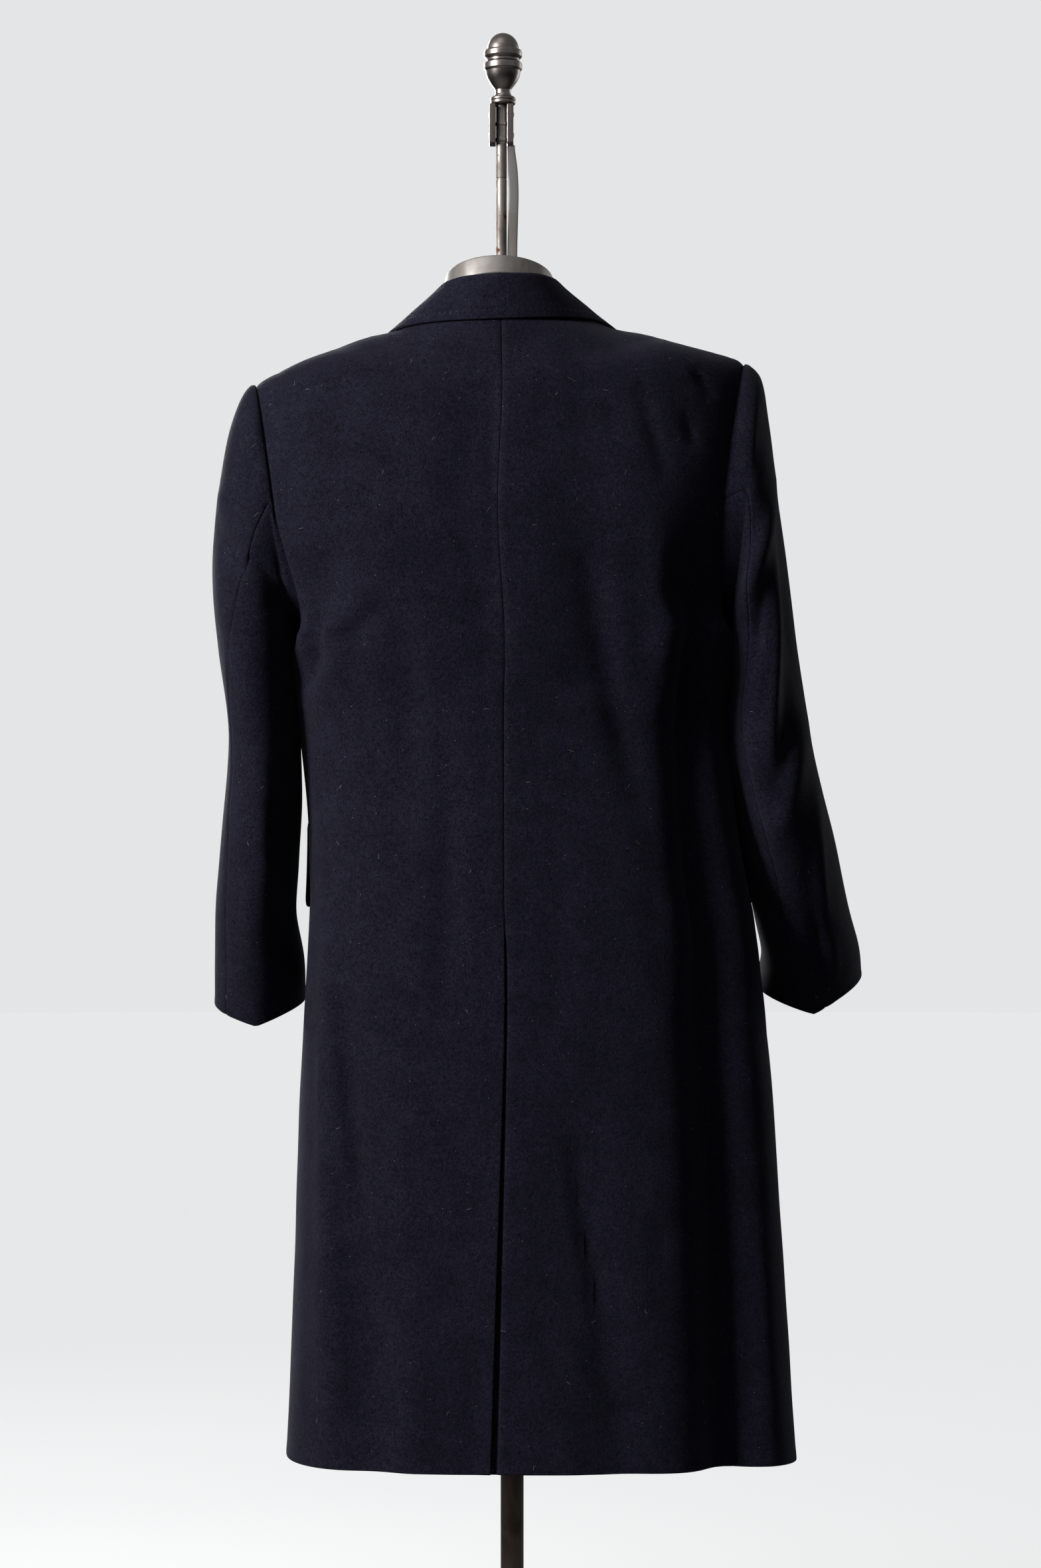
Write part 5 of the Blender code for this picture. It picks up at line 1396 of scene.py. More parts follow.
def make_button(number, button, settings):
    radius, thick = BUTTON_DIAMETER / 2, BUTTON_THICKNESS
    profile = rounded(((0.0, thick - 1.5), (radius - 5.0, thick - 1.3), (radius - 3.4, thick - 0.2),
        (radius - 2.2, thick), (radius - 0.6, thick - 0.6), (radius, thick * 0.5),
        (radius - 1.4, 0.4), (radius - 4.0, 0.0), (0.0, 0.0)), 1.2)
    name = f"button_{number}_horn"
    piece = lathe(name, profile, (0.0, 0.0, 0.0), "dark_horn", steps=64)
    holes = bmesh.new()
    for x in (-BUTTON_HOLE_OFFSET, BUTTON_HOLE_OFFSET):
        for y in (-BUTTON_HOLE_OFFSET, BUTTON_HOLE_OFFSET):
            place = Matrix.Translation(Vector((x, y, thick / 2)) * MM)
            bmesh.ops.create_cone(holes, cap_ends=True, segments=16, radius1=BUTTON_HOLE_RADIUS * MM,
                radius2=BUTTON_HOLE_RADIUS * MM, depth=3 * thick * MM, matrix=place)
    cutter_mesh = mesh_of("button_holes", holes)
    cutter = add_object("button_holes", cutter_mesh)
    drill = piece.modifiers.new("holes", "BOOLEAN")
    drill.operation, drill.solver, drill.object = "DIFFERENCE", "EXACT", cutter
    piece = applied(piece)
    bpy.data.objects.remove(cutter)
    bpy.data.meshes.remove(cutter_mesh)
    place = button_place(button, settings)
    place.translation = place.translation * MM
    piece.data.transform(place)
    piece.data.set_sharp_from_angle(angle=math.radians(35))
    declare(piece, f"button_{number}")


def curve_along(name, routes, closed=False):
    """Curve through routes in millimetres."""
    curve = bpy.data.curves.new(name, "CURVE")
    curve.dimensions = "3D"
    for route in routes:
        spline = curve.splines.new("POLY")
        spline.points.add(len(route) - 1)
        spline.use_cyclic_u = closed
        for point, place in zip(spline.points, route):
            point.co = (*(np.asarray(place) * MM), 1.0)
    return curve


def sewn(piece):
    """Thread that an object's curve and modifiers make, kept as a plain mesh."""
    curve = piece.data
    piece = applied(piece)
    bpy.data.curves.remove(curve)
    piece.data.shade_smooth()
    declare(piece)


def sew_cords(name, routes, radius, closed=False):
    """Round cords along routes, as one mesh."""
    curve = curve_along(name, routes, closed)
    curve.bevel_depth = radius * MM
    curve.bevel_resolution = 3
    curve.use_fill_caps = True
    curve.materials.append(material("silk_thread"))
    sewn(add_object(name, curve))


def make_button_threads(settings):
    """Crossed thread in the four holes of each button, and the wound shank behind it."""
    routes = []
    for button in BUTTONS:
        place = np.array(button_place(button, settings))
        top = BUTTON_THICKNESS - 1.5
        for corner in ((1.0, 1.0), (-1.0, 1.0)):
            for shift in (-0.45, 0.45):
                side = np.array(corner) * BUTTON_HOLE_OFFSET
                aside = np.array((-corner[1], corner[0])) * shift
                arch = [(part * side[0] + aside[0], part * side[1] + aside[1], top + 0.75 * (1 - part ** 4))
                    for part in np.linspace(-1.0, 1.0, 9)]
                arch = [(arch[0][0], arch[0][1], 0.6)] + arch + [(arch[-1][0], arch[-1][1], 0.6)]
                routes.append([(place @ np.array((*point, 1.0)))[:3] for point in arch])
        coil = [(1.5 * math.cos(turn), 1.5 * math.sin(turn), 0.1 - button.gap * turn / 25.2)
            for turn in np.linspace(0.0, 25.1, 50)]
        routes.append([(place @ np.array((*point, 1.0)))[:3] for point in coil])
    sew_cords("button_threads", routes, 0.34)


def make_buttonholes(settings):
    """Corded loop of each buttonhole in the left front, running back from its button."""
    routes = []
    for button in BUTTONS:
        turns = np.linspace(0.0, 2 * np.pi, 49)[:-1]
        back = 4.0 - (1.0 - np.cos(turns)) / 2 * BUTTONHOLE_LENGTH
        flare = 1.0 + 1.4 * np.exp(-((back - 2.0) / 3.0) ** 2)
        up = 1.25 * flare * np.sin(turns) / np.maximum(np.abs(np.sin(turns)), 0.35)
        height = (button.height + up / CHEST_RING)[None, :]
        angle = 180.0 + degrees_across(back, button.height)[None, :]
        surface, _ = body_layer(height, angle, LAP_RISE + 0.15, settings)
        routes.append(surface[0])
    sew_cords("buttonhole_cords", routes, 0.62, closed=True)


def stitch_tree(name):
    """Row of small rounded stitches along each curve, with a gap between them."""
    tree = bpy.data.node_groups.new(name, "GeometryNodeTree")
    tree_sockets(tree, "INPUT", (("Path", "NodeSocketGeometry", None),
        ("Stitch Length", "NodeSocketFloat", 0.0022), ("Gap", "NodeSocketFloat", 0.0036),
        ("Thread Radius", "NodeSocketFloat", 0.00028), ("Thread", "NodeSocketMaterial", None)))
    tree_sockets(tree, "OUTPUT", (("Stitches", "NodeSocketGeometry", None),))
    graph = Graph(tree)
    given = graph.add("NodeGroupInput").outputs
    pitch = graph.plus(given["Stitch Length"], given["Gap"])
    points = graph.add("GeometryNodeCurveToPoints", {"Curve": given["Path"], "Length": pitch},
        mode="LENGTH")
    bead = graph.add("GeometryNodeMeshUVSphere", {"Segments": 6, "Rings": 5, "Radius": 1.0})
    half = graph.maths("DIVIDE", given["Stitch Length"], 2.0)
    size = graph.add("ShaderNodeCombineXYZ",
        {0: given["Thread Radius"], 1: given["Thread Radius"], 2: half})
    stitch = graph.add("GeometryNodeTransform",
        {"Geometry": bead.outputs["Mesh"], "Scale": size.outputs[0]})
    placed = graph.add("GeometryNodeInstanceOnPoints",
        {"Points": points.outputs["Points"], "Instance": stitch.outputs["Geometry"],
        "Rotation": points.outputs["Rotation"]})
    real = graph.add("GeometryNodeRealizeInstances", {"Geometry": placed.outputs["Instances"]})
    dressed = graph.add("GeometryNodeSetMaterial", {"Geometry": real.outputs["Geometry"],
        "Material": given["Thread"]})
    result = graph.add("NodeGroupOutput")
    tree.links.new(dressed.outputs["Geometry"], result.inputs["Stitches"])
    return tree


def sew_row(name, routes, length, gap, radius):
    """Stitches along routes, made by the stitch tree."""
    piece = add_object(name, curve_along(name, routes))
    tree = bpy.data.node_groups.get("stitch row") or stitch_tree("stitch row")
    modifier = piece.modifiers.new("stitches", "NODES")
    modifier.node_group = tree
    values = {"Stitch Length": length * MM, "Gap": gap * MM, "Thread Radius": radius * MM,
        "Thread": material("silk_thread")}
    for socket in tree.interface.items_tree:
        if socket.in_out == "INPUT" and socket.name in values:
            modifier[socket.identifier] = values[socket.name]
    sewn(piece)


def route_on_body(height, angle, rise, settings):
    surface, _ = body_layer(np.asarray(height)[None, :], np.asarray(angle)[None, :], rise, settings)
    return surface[0]


def front_edge_stitches(settings):
    """Pick stitches beside the left front's free edge, from the hem to the break."""
    height = np.concatenate([np.linspace(0.06, 2.0, 120), np.linspace(2.02, BREAK - 0.06, 150)])
    angle = roll_angle(height) - degrees_across(6.0, height)
    return [route_on_body(height, angle, LAP_RISE + 0.02, settings)]


def lapel_stitches(side, start, settings):
    height = np.linspace(start + 0.12, LAPEL_TOP - 0.08, 60)
    width = catmull_rom(np.array([row.width for row in LAPEL_SHAPE], float),
        np.interp(height, [row.height for row in LAPEL_SHAPE], np.arange(len(LAPEL_SHAPE))))
    inset = np.maximum(width - 6.0, 2.0)
    angle = roll_angle(height) - degrees_across(inset, height)
    lift = LAPEL_ROLL * np.sin(np.pi * inset / width) * np.minimum(width / 40.0, 1.0)
    rise = front_rise(height, angle, overlapping=side > 0) + CLOTH + LAPEL_GAP + lift + 0.2
    return [route_on_body(height, side * angle, rise, settings)]


def collar_stitches():
    last = len(COLLAR_COLUMNS) - 1
    place = np.linspace(-last + 0.25, last - 0.25, 160)
    controls = collar_controls(place)
    flat = controls.reshape(len(controls), -1)
    rows = catmull_rom(flat, np.array([5.62, 5.66])).reshape(2, len(place), 3)
    around = np.gradient(rows[0], axis=0)
    normals = unit(np.cross(around, rows[1] - rows[0]))
    return [rows[0] + normals * (CLOTH / 2 * (1 + TURNED_EXTRA) + 0.02)]


def flap_stitches(side, settings):
    inset = 5.0
    low, high = FLAP_HEIGHT[0] + inset / FLAP_RING, FLAP_HEIGHT[1] - 6.0 / FLAP_RING
    first = FLAP_ANGLES[0] + degrees_at_side(inset, 3.0)
    final = FLAP_ANGLES[1] - degrees_at_side(inset, 3.0)
    across = np.linspace(0.0, 1.0, 50)
    bow = 8.0 / FLAP_RING * (np.abs(2 * across - 1) ** 14)
    height = np.concatenate([np.linspace(high, low + bow[0], 14)[:-1], low + bow,
        np.linspace(low + bow[-1], high, 14)[1:]])
    angle = np.concatenate([np.full(13, first), first + (final - first) * across, np.full(13, final)])
    swing = (height - FLAP_HEIGHT[0]) / (FLAP_HEIGHT[1] - FLAP_HEIGHT[0])
    return [route_on_body(height, side * angle, FLAP_RISE + FLAP_FLARE * (1 - swing) + 0.2, settings)]


def vent_tack(settings):
    """Slanted line of stitches that holds the vent's top to the left back."""
    part = np.linspace(0.0, 1.0, 24)
    height = VENT_TOP - 0.02 - 0.145 * part
    angle = ring_value("seam_angle", height) + degrees_across(2.0 + 38.0 * part, height)
    return [route_on_body(height, angle, 0.04, settings)]


# ==== dress form
def make_dress_form():
    """Closed torso: flat arm plates, shoulders, and a neck with a tilted top under the metal cap."""
    columns = 144
    heights = np.concatenate([np.linspace(FORM_BOTTOM, UNDERARM, 54), np.linspace(5.03, 7.0, 66),
        np.linspace(7.03, 9.0, 50)])
    turns = np.arange(columns) * 360.0 / columns
    height, angle = np.meshgrid(heights, turns, indexing="ij")
    inset = ring_value("form_inset", height)[..., None]
    normals = coat_normal(height, angle, folded=False)
    body = coat_point(height, angle, folded=False) - normals * inset
    centre = ring_value("centre_x", height)
    plates = centre + np.clip(body[..., 0] - centre, -ARM_PLATE_X, ARM_PLATE_X)
    limit = ARM_PLATE_X + SHOULDER_CAP
    shoulders = np.clip(body[..., 0], LEAN_CENTRE - limit, LEAN_CENTRE + limit)
    plate_share = smooth_step(height, WAIST - 0.1, WAIST + 0.1) * (1.0 - smooth_step(height, 6.85, 7.15))
    body[..., 0] = plates * plate_share + shoulders * (1.0 - plate_share)
    seam = np.full(height.shape, np.inf)
    for seam_angle in FORM_SEAMS:
        away = np.radians(np.abs((angle - seam_angle + 180.0) % 360.0 - 180.0))
        seam = np.minimum(seam, away * np.hypot(body[..., 0] - centre, body[..., 1]))
    groove = -0.9 * np.exp(-(seam / 1.6) ** 2) + 0.35 * np.exp(-((seam - 5.0) / 2.5) ** 2)
    body = body + normals * (groove * smooth_step(height, FORM_BOTTOM, FORM_BOTTOM + 0.1))[..., None]
    turn = np.radians(turns)
    cap_bottom = CAP_TOP_Z - CAP_HEIGHT / math.cos(NECK_TILT) - CONTACT_GAP
    rings = []
    for radius, drop in NECK_RINGS:
        x, y = NECK_CENTRE[0] + radius * np.sin(turn), NECK_CENTRE[1] + radius * np.cos(turn)
        z = cap_bottom + math.tan(NECK_TILT) * (y - NECK_CENTRE[1]) - drop
        rings.append(np.stack([x, y, z], axis=-1))
    controls = np.stack([body[-6], body[-1]] + rings).reshape(5, -1)
    neck = catmull_rom(controls, np.linspace(1.0, 4.0, 31)[1:]).reshape(-1, columns, 3)
    grid = np.concatenate([body, neck])
    rows = len(grid)
    corner = np.arange(rows - 1)[:, None] * columns + np.arange(columns)[None, :]
    following = np.arange(rows - 1)[:, None] * columns + (np.arange(columns) + 1)[None, :] % columns
    faces = np.stack([corner, following, following + columns, corner + columns], axis=-1)
    faces = faces.reshape(-1, 4).tolist()
    points = grid.reshape(-1, 3).tolist()
    for row in (0, rows - 1):
        points.append(grid[row].mean(axis=0).tolist())
        middle = len(points) - 1
        faces += [(middle, row * columns + (step + 1) % columns, row * columns + step)
            for step in range(columns)]
    mesh = bpy.data.meshes.new("dress_form_linen")
    mesh.from_pydata([[value * MM for value in point] for point in points], [], faces)
    around = np.concatenate([np.tile(np.radians(turns) * 0.2, rows), [0.0, 0.0]])
    up = np.array([point[2] * MM for point in points])
    layer = mesh.uv_layers.new(name="threads")
    for loop in mesh.loops:
        layer.data[loop.index].uv = (around[loop.vertex_index], up[loop.vertex_index])
    shape = bmesh.new()
    shape.from_mesh(mesh)
    bmesh.ops.recalc_face_normals(shape, faces=shape.faces)
    shape.to_mesh(mesh)
    shape.free()
    piece = add_piece("dress_form_linen", mesh, "unbleached_linen")
    mesh.set_sharp_from_angle(angle=math.radians(50))
    declare(piece, "dress_form")


# ==== handle and stand
def make_neck_cap():
    radius = CAP_RADIUS
    profile = rounded(((0.0, 0.0), (7.5, 0.0), (8.0, -0.4), (radius - 7.0, -0.2), (radius - 5.0, 0.0),
        (radius - 0.3, -0.4), (radius, -2.2), (radius, -CAP_HEIGHT + 1.4),
        (radius - 1.2, -CAP_HEIGHT), (0.0, -CAP_HEIGHT)), 1.4)
    piece = lathe("neck_cap_steel", profile, (*NECK_CENTRE, CAP_TOP_Z), "cap_steel",
        steps=128, rotation=(NECK_TILT, 0.0, 0.0))
    declare(piece, "neck_cap")


def make_rod():
    """Rod with two low collars between the plates and a scribed ring below them."""
    radius = ROD_DIAMETER / 2
    bottom = CAP_TOP_Z - 3.0
    profile = [(0.0, PLATE_TOP_Z), (radius, PLATE_TOP_Z)]
    for height, depth, half in ((1680.0, 0.45, 1.5), (1664.5, 0.45, 1.6), (1626.5, -0.4, 0.5)):
        profile += [(radius, height + half + 0.3), (radius + depth, height + half),
            (radius + depth, height - half), (radius, height - half - 0.3)]
    profile += [(radius, bottom), (0.0, bottom)]
    piece = lathe("rod_steel", rounded(profile, 0.4), (ROD_X, ROD_Y, 0.0), "rusty_rod_steel", steps=64)
    declare(piece, "rod")


def make_plates():
    """Two clamping plates beside the rod's top, with softened edges and a rivet through each."""
    for name, side in (("left", 1.0), ("right", -1.0)):
        shape = bmesh.new()
        bmesh.ops.create_cube(shape, size=1.0)
        size = Vector((PLATE_THICKNESS, PLATE_DEPTH, PLATE_TOP_Z - PLATE_BOTTOM_Z))
        bmesh.ops.scale(shape, vec=size, verts=shape.verts)
        bmesh.ops.bevel(shape, geom=list(shape.edges), offset=0.9, segments=4, affect="EDGES", profile=0.6)
        middle = Vector((ROD_X + side * (ROD_DIAMETER / 2 + CONTACT_GAP + PLATE_THICKNESS / 2), ROD_Y,
            (PLATE_TOP_Z + PLATE_BOTTOM_Z) / 2))
        for z in (-10.0, 10.0):
            place = Matrix.Translation((side * PLATE_THICKNESS / 2, 0.0, z))
            place = place @ Matrix.Rotation(math.pi / 2, 4, "Y")
            rivet = bmesh.ops.create_uvsphere(shape, u_segments=20, v_segments=10, radius=2.6, matrix=place)
            for vert in rivet["verts"]:
                vert.co.x = side * PLATE_THICKNESS / 2 + (vert.co.x - side * PLATE_THICKNESS / 2) * 0.28
        mesh = mesh_of(f"plate_{name}_steel", shape)
        mesh.transform(Matrix.Scale(MM, 4) @ Matrix.Translation(middle))
        piece = add_piece(f"plate_{name}_steel", mesh, "browned_steel")
        mesh.set_sharp_from_angle(angle=math.radians(40))
        declare(piece, f"plate_{name}")


def make_strap():
    """Flat trigger strap beside the rod, bowed gently outwards, from the cap to the right plate."""
    outline = ((-10.6, CAP_TOP_Z - 2.5), (-10.7, 1560.0), (-11.4, 1590.0), (-11.9, 1612.0),
        (-11.0, 1636.0), (-9.3, 1659.4))
    line = catmull_rom(np.array(outline), np.linspace(0.0, 5.0, 71))
    half_width = STRAP_WIDTH / 2
    across = np.concatenate([-half_width + EDGE_STEPS[:5], [0.0], half_width - EDGE_STEPS[4::-1]])[::-1]
    taper = 1.0 - 0.26 * smooth_step(line[:, 1:], 1630.0, 1659.0)
    x = ROD_X + line[:, :1] + across[None, :] * taper
    z = np.broadcast_to(line[:, 1:], x.shape)
    edge = np.minimum(half_width - np.abs(across)[None, :], (line[-1, 1] - z))
    half = STRAP_THICKNESS / 2 * edge_share(edge)
    crown = 0.35 * (1 - (across / half_width) ** 2)[None, :] * np.ones(x.shape)
    outer = np.stack([x, ROD_Y + half + crown * 0.5, z], axis=-1)
    inner = np.stack([x, ROD_Y - half, z], axis=-1)
    piece = cloth_wall("trigger_strap_steel", outer, inner, ("cap_steel",))
    declare(piece, "trigger_strap")


def make_finial():
    half = WASHER_DIAMETER / 2
    top = WASHER_THICKNESS
    profile = rounded(((0.0, top), (half - 1.6, top), (half, top - 1.5), (half, 4.6), (half - 0.7, 4.0),
        (half - 0.3, 3.2), (half - 0.3, 1.2), (half - 1.6, 0.0), (0.0, 0.0)), 0.9)
    washer = lathe("washer_steel", profile, (FINIAL_X, ROD_Y, WASHER_BOTTOM_Z), "browned_steel")
    declare(washer, "washer")
    dome = [(15.5 * math.sin(math.radians(a)), 45.2 + 16.7 * math.cos(math.radians(a)))
        for a in range(0, 91, 6)]
    profile = dome + rounded(((15.5, 45.2), (17.4, 45.2), (18.5, 43.4), (18.5, 38.8), (16.6, 36.9),
        (15.9, 36.2),
        (15.9, 34.6), (16.8, 33.4), (18.6, 32.0), (18.6, 26.6), (17.0, 24.6),
        (16.4, 20.6), (14.4, 15.8), (11.4, 11.4), (8.9, 8.2), (7.8, 6.4), (7.6, 4.4),
        (7.7, 2.4), (8.6, 0.6), (8.8, 0.0), (0.0, 0.0)), 0.8)[1:]
    base = WASHER_BOTTOM_Z + WASHER_THICKNESS + CONTACT_GAP
    piece = lathe("finial_steel", profile, (FINIAL_X, ROD_Y, base), "browned_steel", steps=128)
    declare(piece, "finial")


def make_stand():
    radius = POLE_DIAMETER / 2
    top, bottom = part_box("pole")[1][2] / MM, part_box("pole")[0][2] / MM
    profile = rounded(((0.0, top), (radius, top), (radius, POLE_JOINT), (radius + 0.01, POLE_JOINT - 1.0),
        (radius, bottom), (0.0, bottom)), 0.5)
    pole = lathe("pole_steel", profile, (0.0, 0.0, 0.0), "dark_pole_steel", steps=64)
    declare(pole, "pole")
    boss = BOSS_RADIUS
    profile = rounded(((0.0, BOSS_TOP), (boss - 14.0, BOSS_TOP), (boss - 8.0, BOSS_TOP - 1.0),
        (boss - 6.5, BOSS_TOP - 4.0), (boss - 6.0, BASE_CROWN + 16.0), (boss - 1.0, BASE_CROWN + 5.0),
        (boss + 9.0, BASE_CROWN), (boss + 60.0, BASE_CROWN - 5.0), (boss + 62.0, BASE_CROWN - 3.4),
        (boss + 70.0, BASE_CROWN - 4.2), (boss + 72.0, BASE_CROWN - 6.6),
        (BASE_RADIUS - 16.0, BASE_EDGE + 2.0), (BASE_RADIUS - 5.0, BASE_EDGE - 0.5),
        (BASE_RADIUS, BASE_EDGE - 5.5), (BASE_RADIUS, 1.2), (BASE_RADIUS - 1.2, 0.0), (0.0, 0.0)), 2.4)
    base = lathe("base_iron", profile, (0.0, 0.0, 0.0), "black_cast_iron", steps=160)
    declare(base, "base")


# ==== stage
CAMERA_PLACE = (-0.008, 3.54, 0.918)
CAMERA_LENS = 84.3
CAMERA_RISE = 1.98          # degrees above level
FLOOR_FADE = (0.9, 2.4)      # metres from the pole
FLOOR_SHARE = 0.55           # share of the floor's brightness that the lights give near the pole
BACKDROP_COLOUR = (0.985, 0.992, 1.0, 1.0)


def make_floor_finish(settings):
    """Plain pale floor that turns into the backdrop away from the object."""
    made, graph, surface = new_material("pale_floor", roughness=0.85, specular_ior_level=0.2,
        emission_strength=settings.backdrop_brightness)
    place = graph.place()
    cloud = graph.noise(place, 1.2, detail=2.0)
    away = graph.add("ShaderNodeVectorMath", {0: place}, operation="LENGTH").outputs["Value"]
    near = graph.span(away, FLOOR_FADE[0], FLOOR_FADE[1], 1.0, 0.0)
    pale, paler = [value * 0.985 for value in settings.floor_colour], list(settings.floor_colour)
    tone = graph.blend(cloud, (*pale, 1.0), (*paler, 1.0))
    tone = graph.blend(graph.times(near, FLOOR_SHARE), (0.0, 0.0, 0.0, 1.0), tone)
    ray = graph.add("ShaderNodeLightPath").outputs["Is Camera Ray"]
    glow = graph.times(ray, graph.minus(1.0, graph.times(near, FLOOR_SHARE)))
    glow = graph.blend(glow, (0.0, 0.0, 0.0, 1.0), BACKDROP_COLOUR)
    graph.tree.links.new(tone, surface.inputs["Base Color"])
    graph.tree.links.new(glow, surface.inputs["Emission Color"])
    return made


def add_area_light(name, place, target, size, power):
    lamp = bpy.data.lights.new(name, "AREA")
    lamp.shape = "RECTANGLE"
    lamp.size, lamp.size_y = size
    lamp.energy = power
    item = add_object(name, lamp)
    item.location = place
    item.rotation_euler = (Vector(target) - Vector(place)).to_track_quat("-Z", "Y").to_euler()


def make_stage(settings):
    shape = bmesh.new()
    bmesh.ops.create_circle(shape, cap_ends=True, segments=96, radius=settings.floor_radius)
    mesh = mesh_of("floor", shape)
    mesh.materials.append(make_floor_finish(settings))
    add_piece("floor", mesh)
    world = bpy.data.worlds.new("studio")
    bpy.context.scene.world = world
    world.use_nodes = True
    graph = Graph(world.node_tree)
    background = world.node_tree.nodes["Background"]
    look = graph.add("ShaderNodeTexCoord").outputs["Generated"]
    sideways = graph.add("ShaderNodeSeparateXYZ", {"Vector": look}).outputs["X"]
    fill = graph.span(sideways, -0.6, 1.0, settings.fill_strength * 0.5, settings.fill_strength * 1.5)
    path = graph.add("ShaderNodeLightPath").outputs
    fill = graph.plus(fill, graph.times(path["Is Glossy Ray"], settings.reflected_room))
    unseen = graph.times(fill, graph.minus(1.0, path["Is Camera Ray"]))
    seen = graph.times(path["Is Camera Ray"], settings.backdrop_brightness)
    world.node_tree.links.new(graph.plus(unseen, seen), background.inputs["Strength"])
    background.inputs["Color"].default_value = BACKDROP_COLOUR
    key = settings.key_power
    add_area_light("key", (2.6, 1.75, 2.45), (0.0, 0.0, 1.4), (0.9, 1.3), key)
    add_area_light("top", (0.7, 1.2, 3.6), (0.0, 0.0, 1.4), (1.2, 1.2), key * 0.06)
    add_area_light("front_fill", (1.2, -3.7, 2.3), (0.0, 0.0, 1.0), (1.6, 2.0), key * 1.2)
    add_area_light("front_side_fill", (-3.0, -2.8, 1.8), (0.0, 0.0, 1.0), (1.4, 2.2), key * 0.22)
    camera = bpy.data.cameras.new("camera")
    camera.lens = CAMERA_LENS
    item = add_object("camera", camera)
    item.location = CAMERA_PLACE
    item.rotation_euler = (math.radians(90.0 + CAMERA_RISE), 0.0, math.pi)
    bpy.context.scene.camera = item
    bpy.context.scene.view_settings.view_transform = "Standard"
    bpy.context.scene.view_settings.look = "None"


# ==== settings
def colour_setting(label, meaning, default):
    return FloatVectorProperty(name=label, description=meaning, default=default, size=3, min=0.0, max=1.0,
        subtype="COLOR")


class OvercoatCloth(bpy.types.PropertyGroup):
    """Sizes of the cloth's surface."""

    grid_step: FloatProperty(name="Grid step", description="Length of one face of the cloth",
        default=0.0056, min=0.003, max=0.03, unit="LENGTH", subtype="DISTANCE")
    crease_strength: FloatProperty(name="Crease strength", description="How deep the creases are",
        default=1.3, min=0.0, max=2.0, subtype="FACTOR")
    unevenness: FloatProperty(name="Unevenness", description="Height of the cloth's soft waves",
        default=0.0007, min=0.0, max=0.003, unit="LENGTH", subtype="DISTANCE")


class OvercoatFinish(bpy.types.PropertyGroup):
    """Colours and wear."""

    wool_dark: colour_setting("Wool, dark hairs", "Darker colour of the melton", (0.0024, 0.0023, 0.0050))
    wool_light: colour_setting("Wool, pale hairs", "Paler colour of the melton", (0.0128, 0.0120, 0.0225))
    wool_sheen: FloatProperty(name="Wool sheen", description="Strength of the nap's sheen",
        default=0.035, min=0.0, max=1.0, subtype="FACTOR")
    lint_amount: FloatProperty(name="Lint",
        description="Share of the cloth's cells that hold a fibre of lint",
        default=0.10, min=0.0, max=1.0, subtype="FACTOR")
    lint_colour: colour_setting("Lint colour", "Colour of the lint on the coat", (0.19, 0.175, 0.18))
    linen_colour: colour_setting("Linen", "Colour of the dress form's linen", (0.56, 0.47, 0.35))
    rust_amount: FloatProperty(name="Rust", description="How much of the rod's steel has rusted",
        default=0.5, min=0.0, max=1.0, subtype="FACTOR")


class OvercoatStage(bpy.types.PropertyGroup):
    """Floor and lights."""

    floor_colour: colour_setting("Floor", "Colour of the plain floor", (0.50, 0.50, 0.50))
    floor_radius: FloatProperty(name="Floor radius", description="Radius of the plain floor",
        default=30.0, min=2.0, unit="LENGTH", subtype="DISTANCE")
    key_power: FloatProperty(name="Key light", description="Power of the main light",
        default=205.0, min=0.0, unit="POWER")
    fill_strength: FloatProperty(name="Fill light", description="Brightness of the room round the object",
        default=0.045, min=0.0)
    reflected_room: FloatProperty(name="Reflected room", description="Brightness of the room in the metal",
        default=0.34, min=0.0)
    backdrop_brightness: FloatProperty(name="Backdrop", description="Brightness of the plain backdrop",
        default=0.79, min=0.0)


# ==== operators
class MakeBacks(bpy.types.Operator):
    """Make both backs, with the centre seam and the vent"""

    bl_idname = "overcoat.make_backs"
    bl_label = "Backs"

    def execute(self, context):
        settings = context.scene.overcoat_cloth
        declare_cloth(make_back_left(settings))
        declare_cloth(make_back_right(settings))
        return {"FINISHED"}


class MakeFronts(bpy.types.Operator):
    """Make both fronts, the left lapped over the right"""

    bl_idname = "overcoat.make_fronts"
    bl_label = "Fronts"

    def execute(self, context):
        settings = context.scene.overcoat_cloth
        declare_cloth(make_front("front_left", 1.0, settings))
        declare_cloth(make_front("front_right", -1.0, settings))
        return {"FINISHED"}


class MakeSleeves(bpy.types.Operator):
    """Make the two-piece sleeves"""

    bl_idname = "overcoat.make_sleeves"
    bl_label = "Sleeves"

    def execute(self, context):
        settings = context.scene.overcoat_cloth
        for name, side, table in (("left", 1.0, LEFT_SLEEVE), ("right", -1.0, RIGHT_SLEEVE)):
            for piece in make_sleeve(name, side, table, settings):
                declare_cloth(piece)
        return {"FINISHED"}


class MakeLapels(bpy.types.Operator):
    """Make the lapels, turned back from the fronts' edges"""

    bl_idname = "overcoat.make_lapels"
    bl_label = "Lapels"

    def execute(self, context):
        settings = context.scene.overcoat_cloth
        left = make_lapel("lapel_left", 1.0, LEFT_LAPEL_START, settings)
        right = make_lapel("lapel_right", -1.0, RIGHT_LAPEL_START, settings)
        declare_cloth(left)
        declare_cloth(right)
        return {"FINISHED"}


class MakeCollar(bpy.types.Operator):
    """Make the collar, its stand and fall in one fold"""

    bl_idname = "overcoat.make_collar"
    bl_label = "Collar"

    def execute(self, context):
        declare_cloth(make_collar(context.scene.overcoat_cloth))
        return {"FINISHED"}


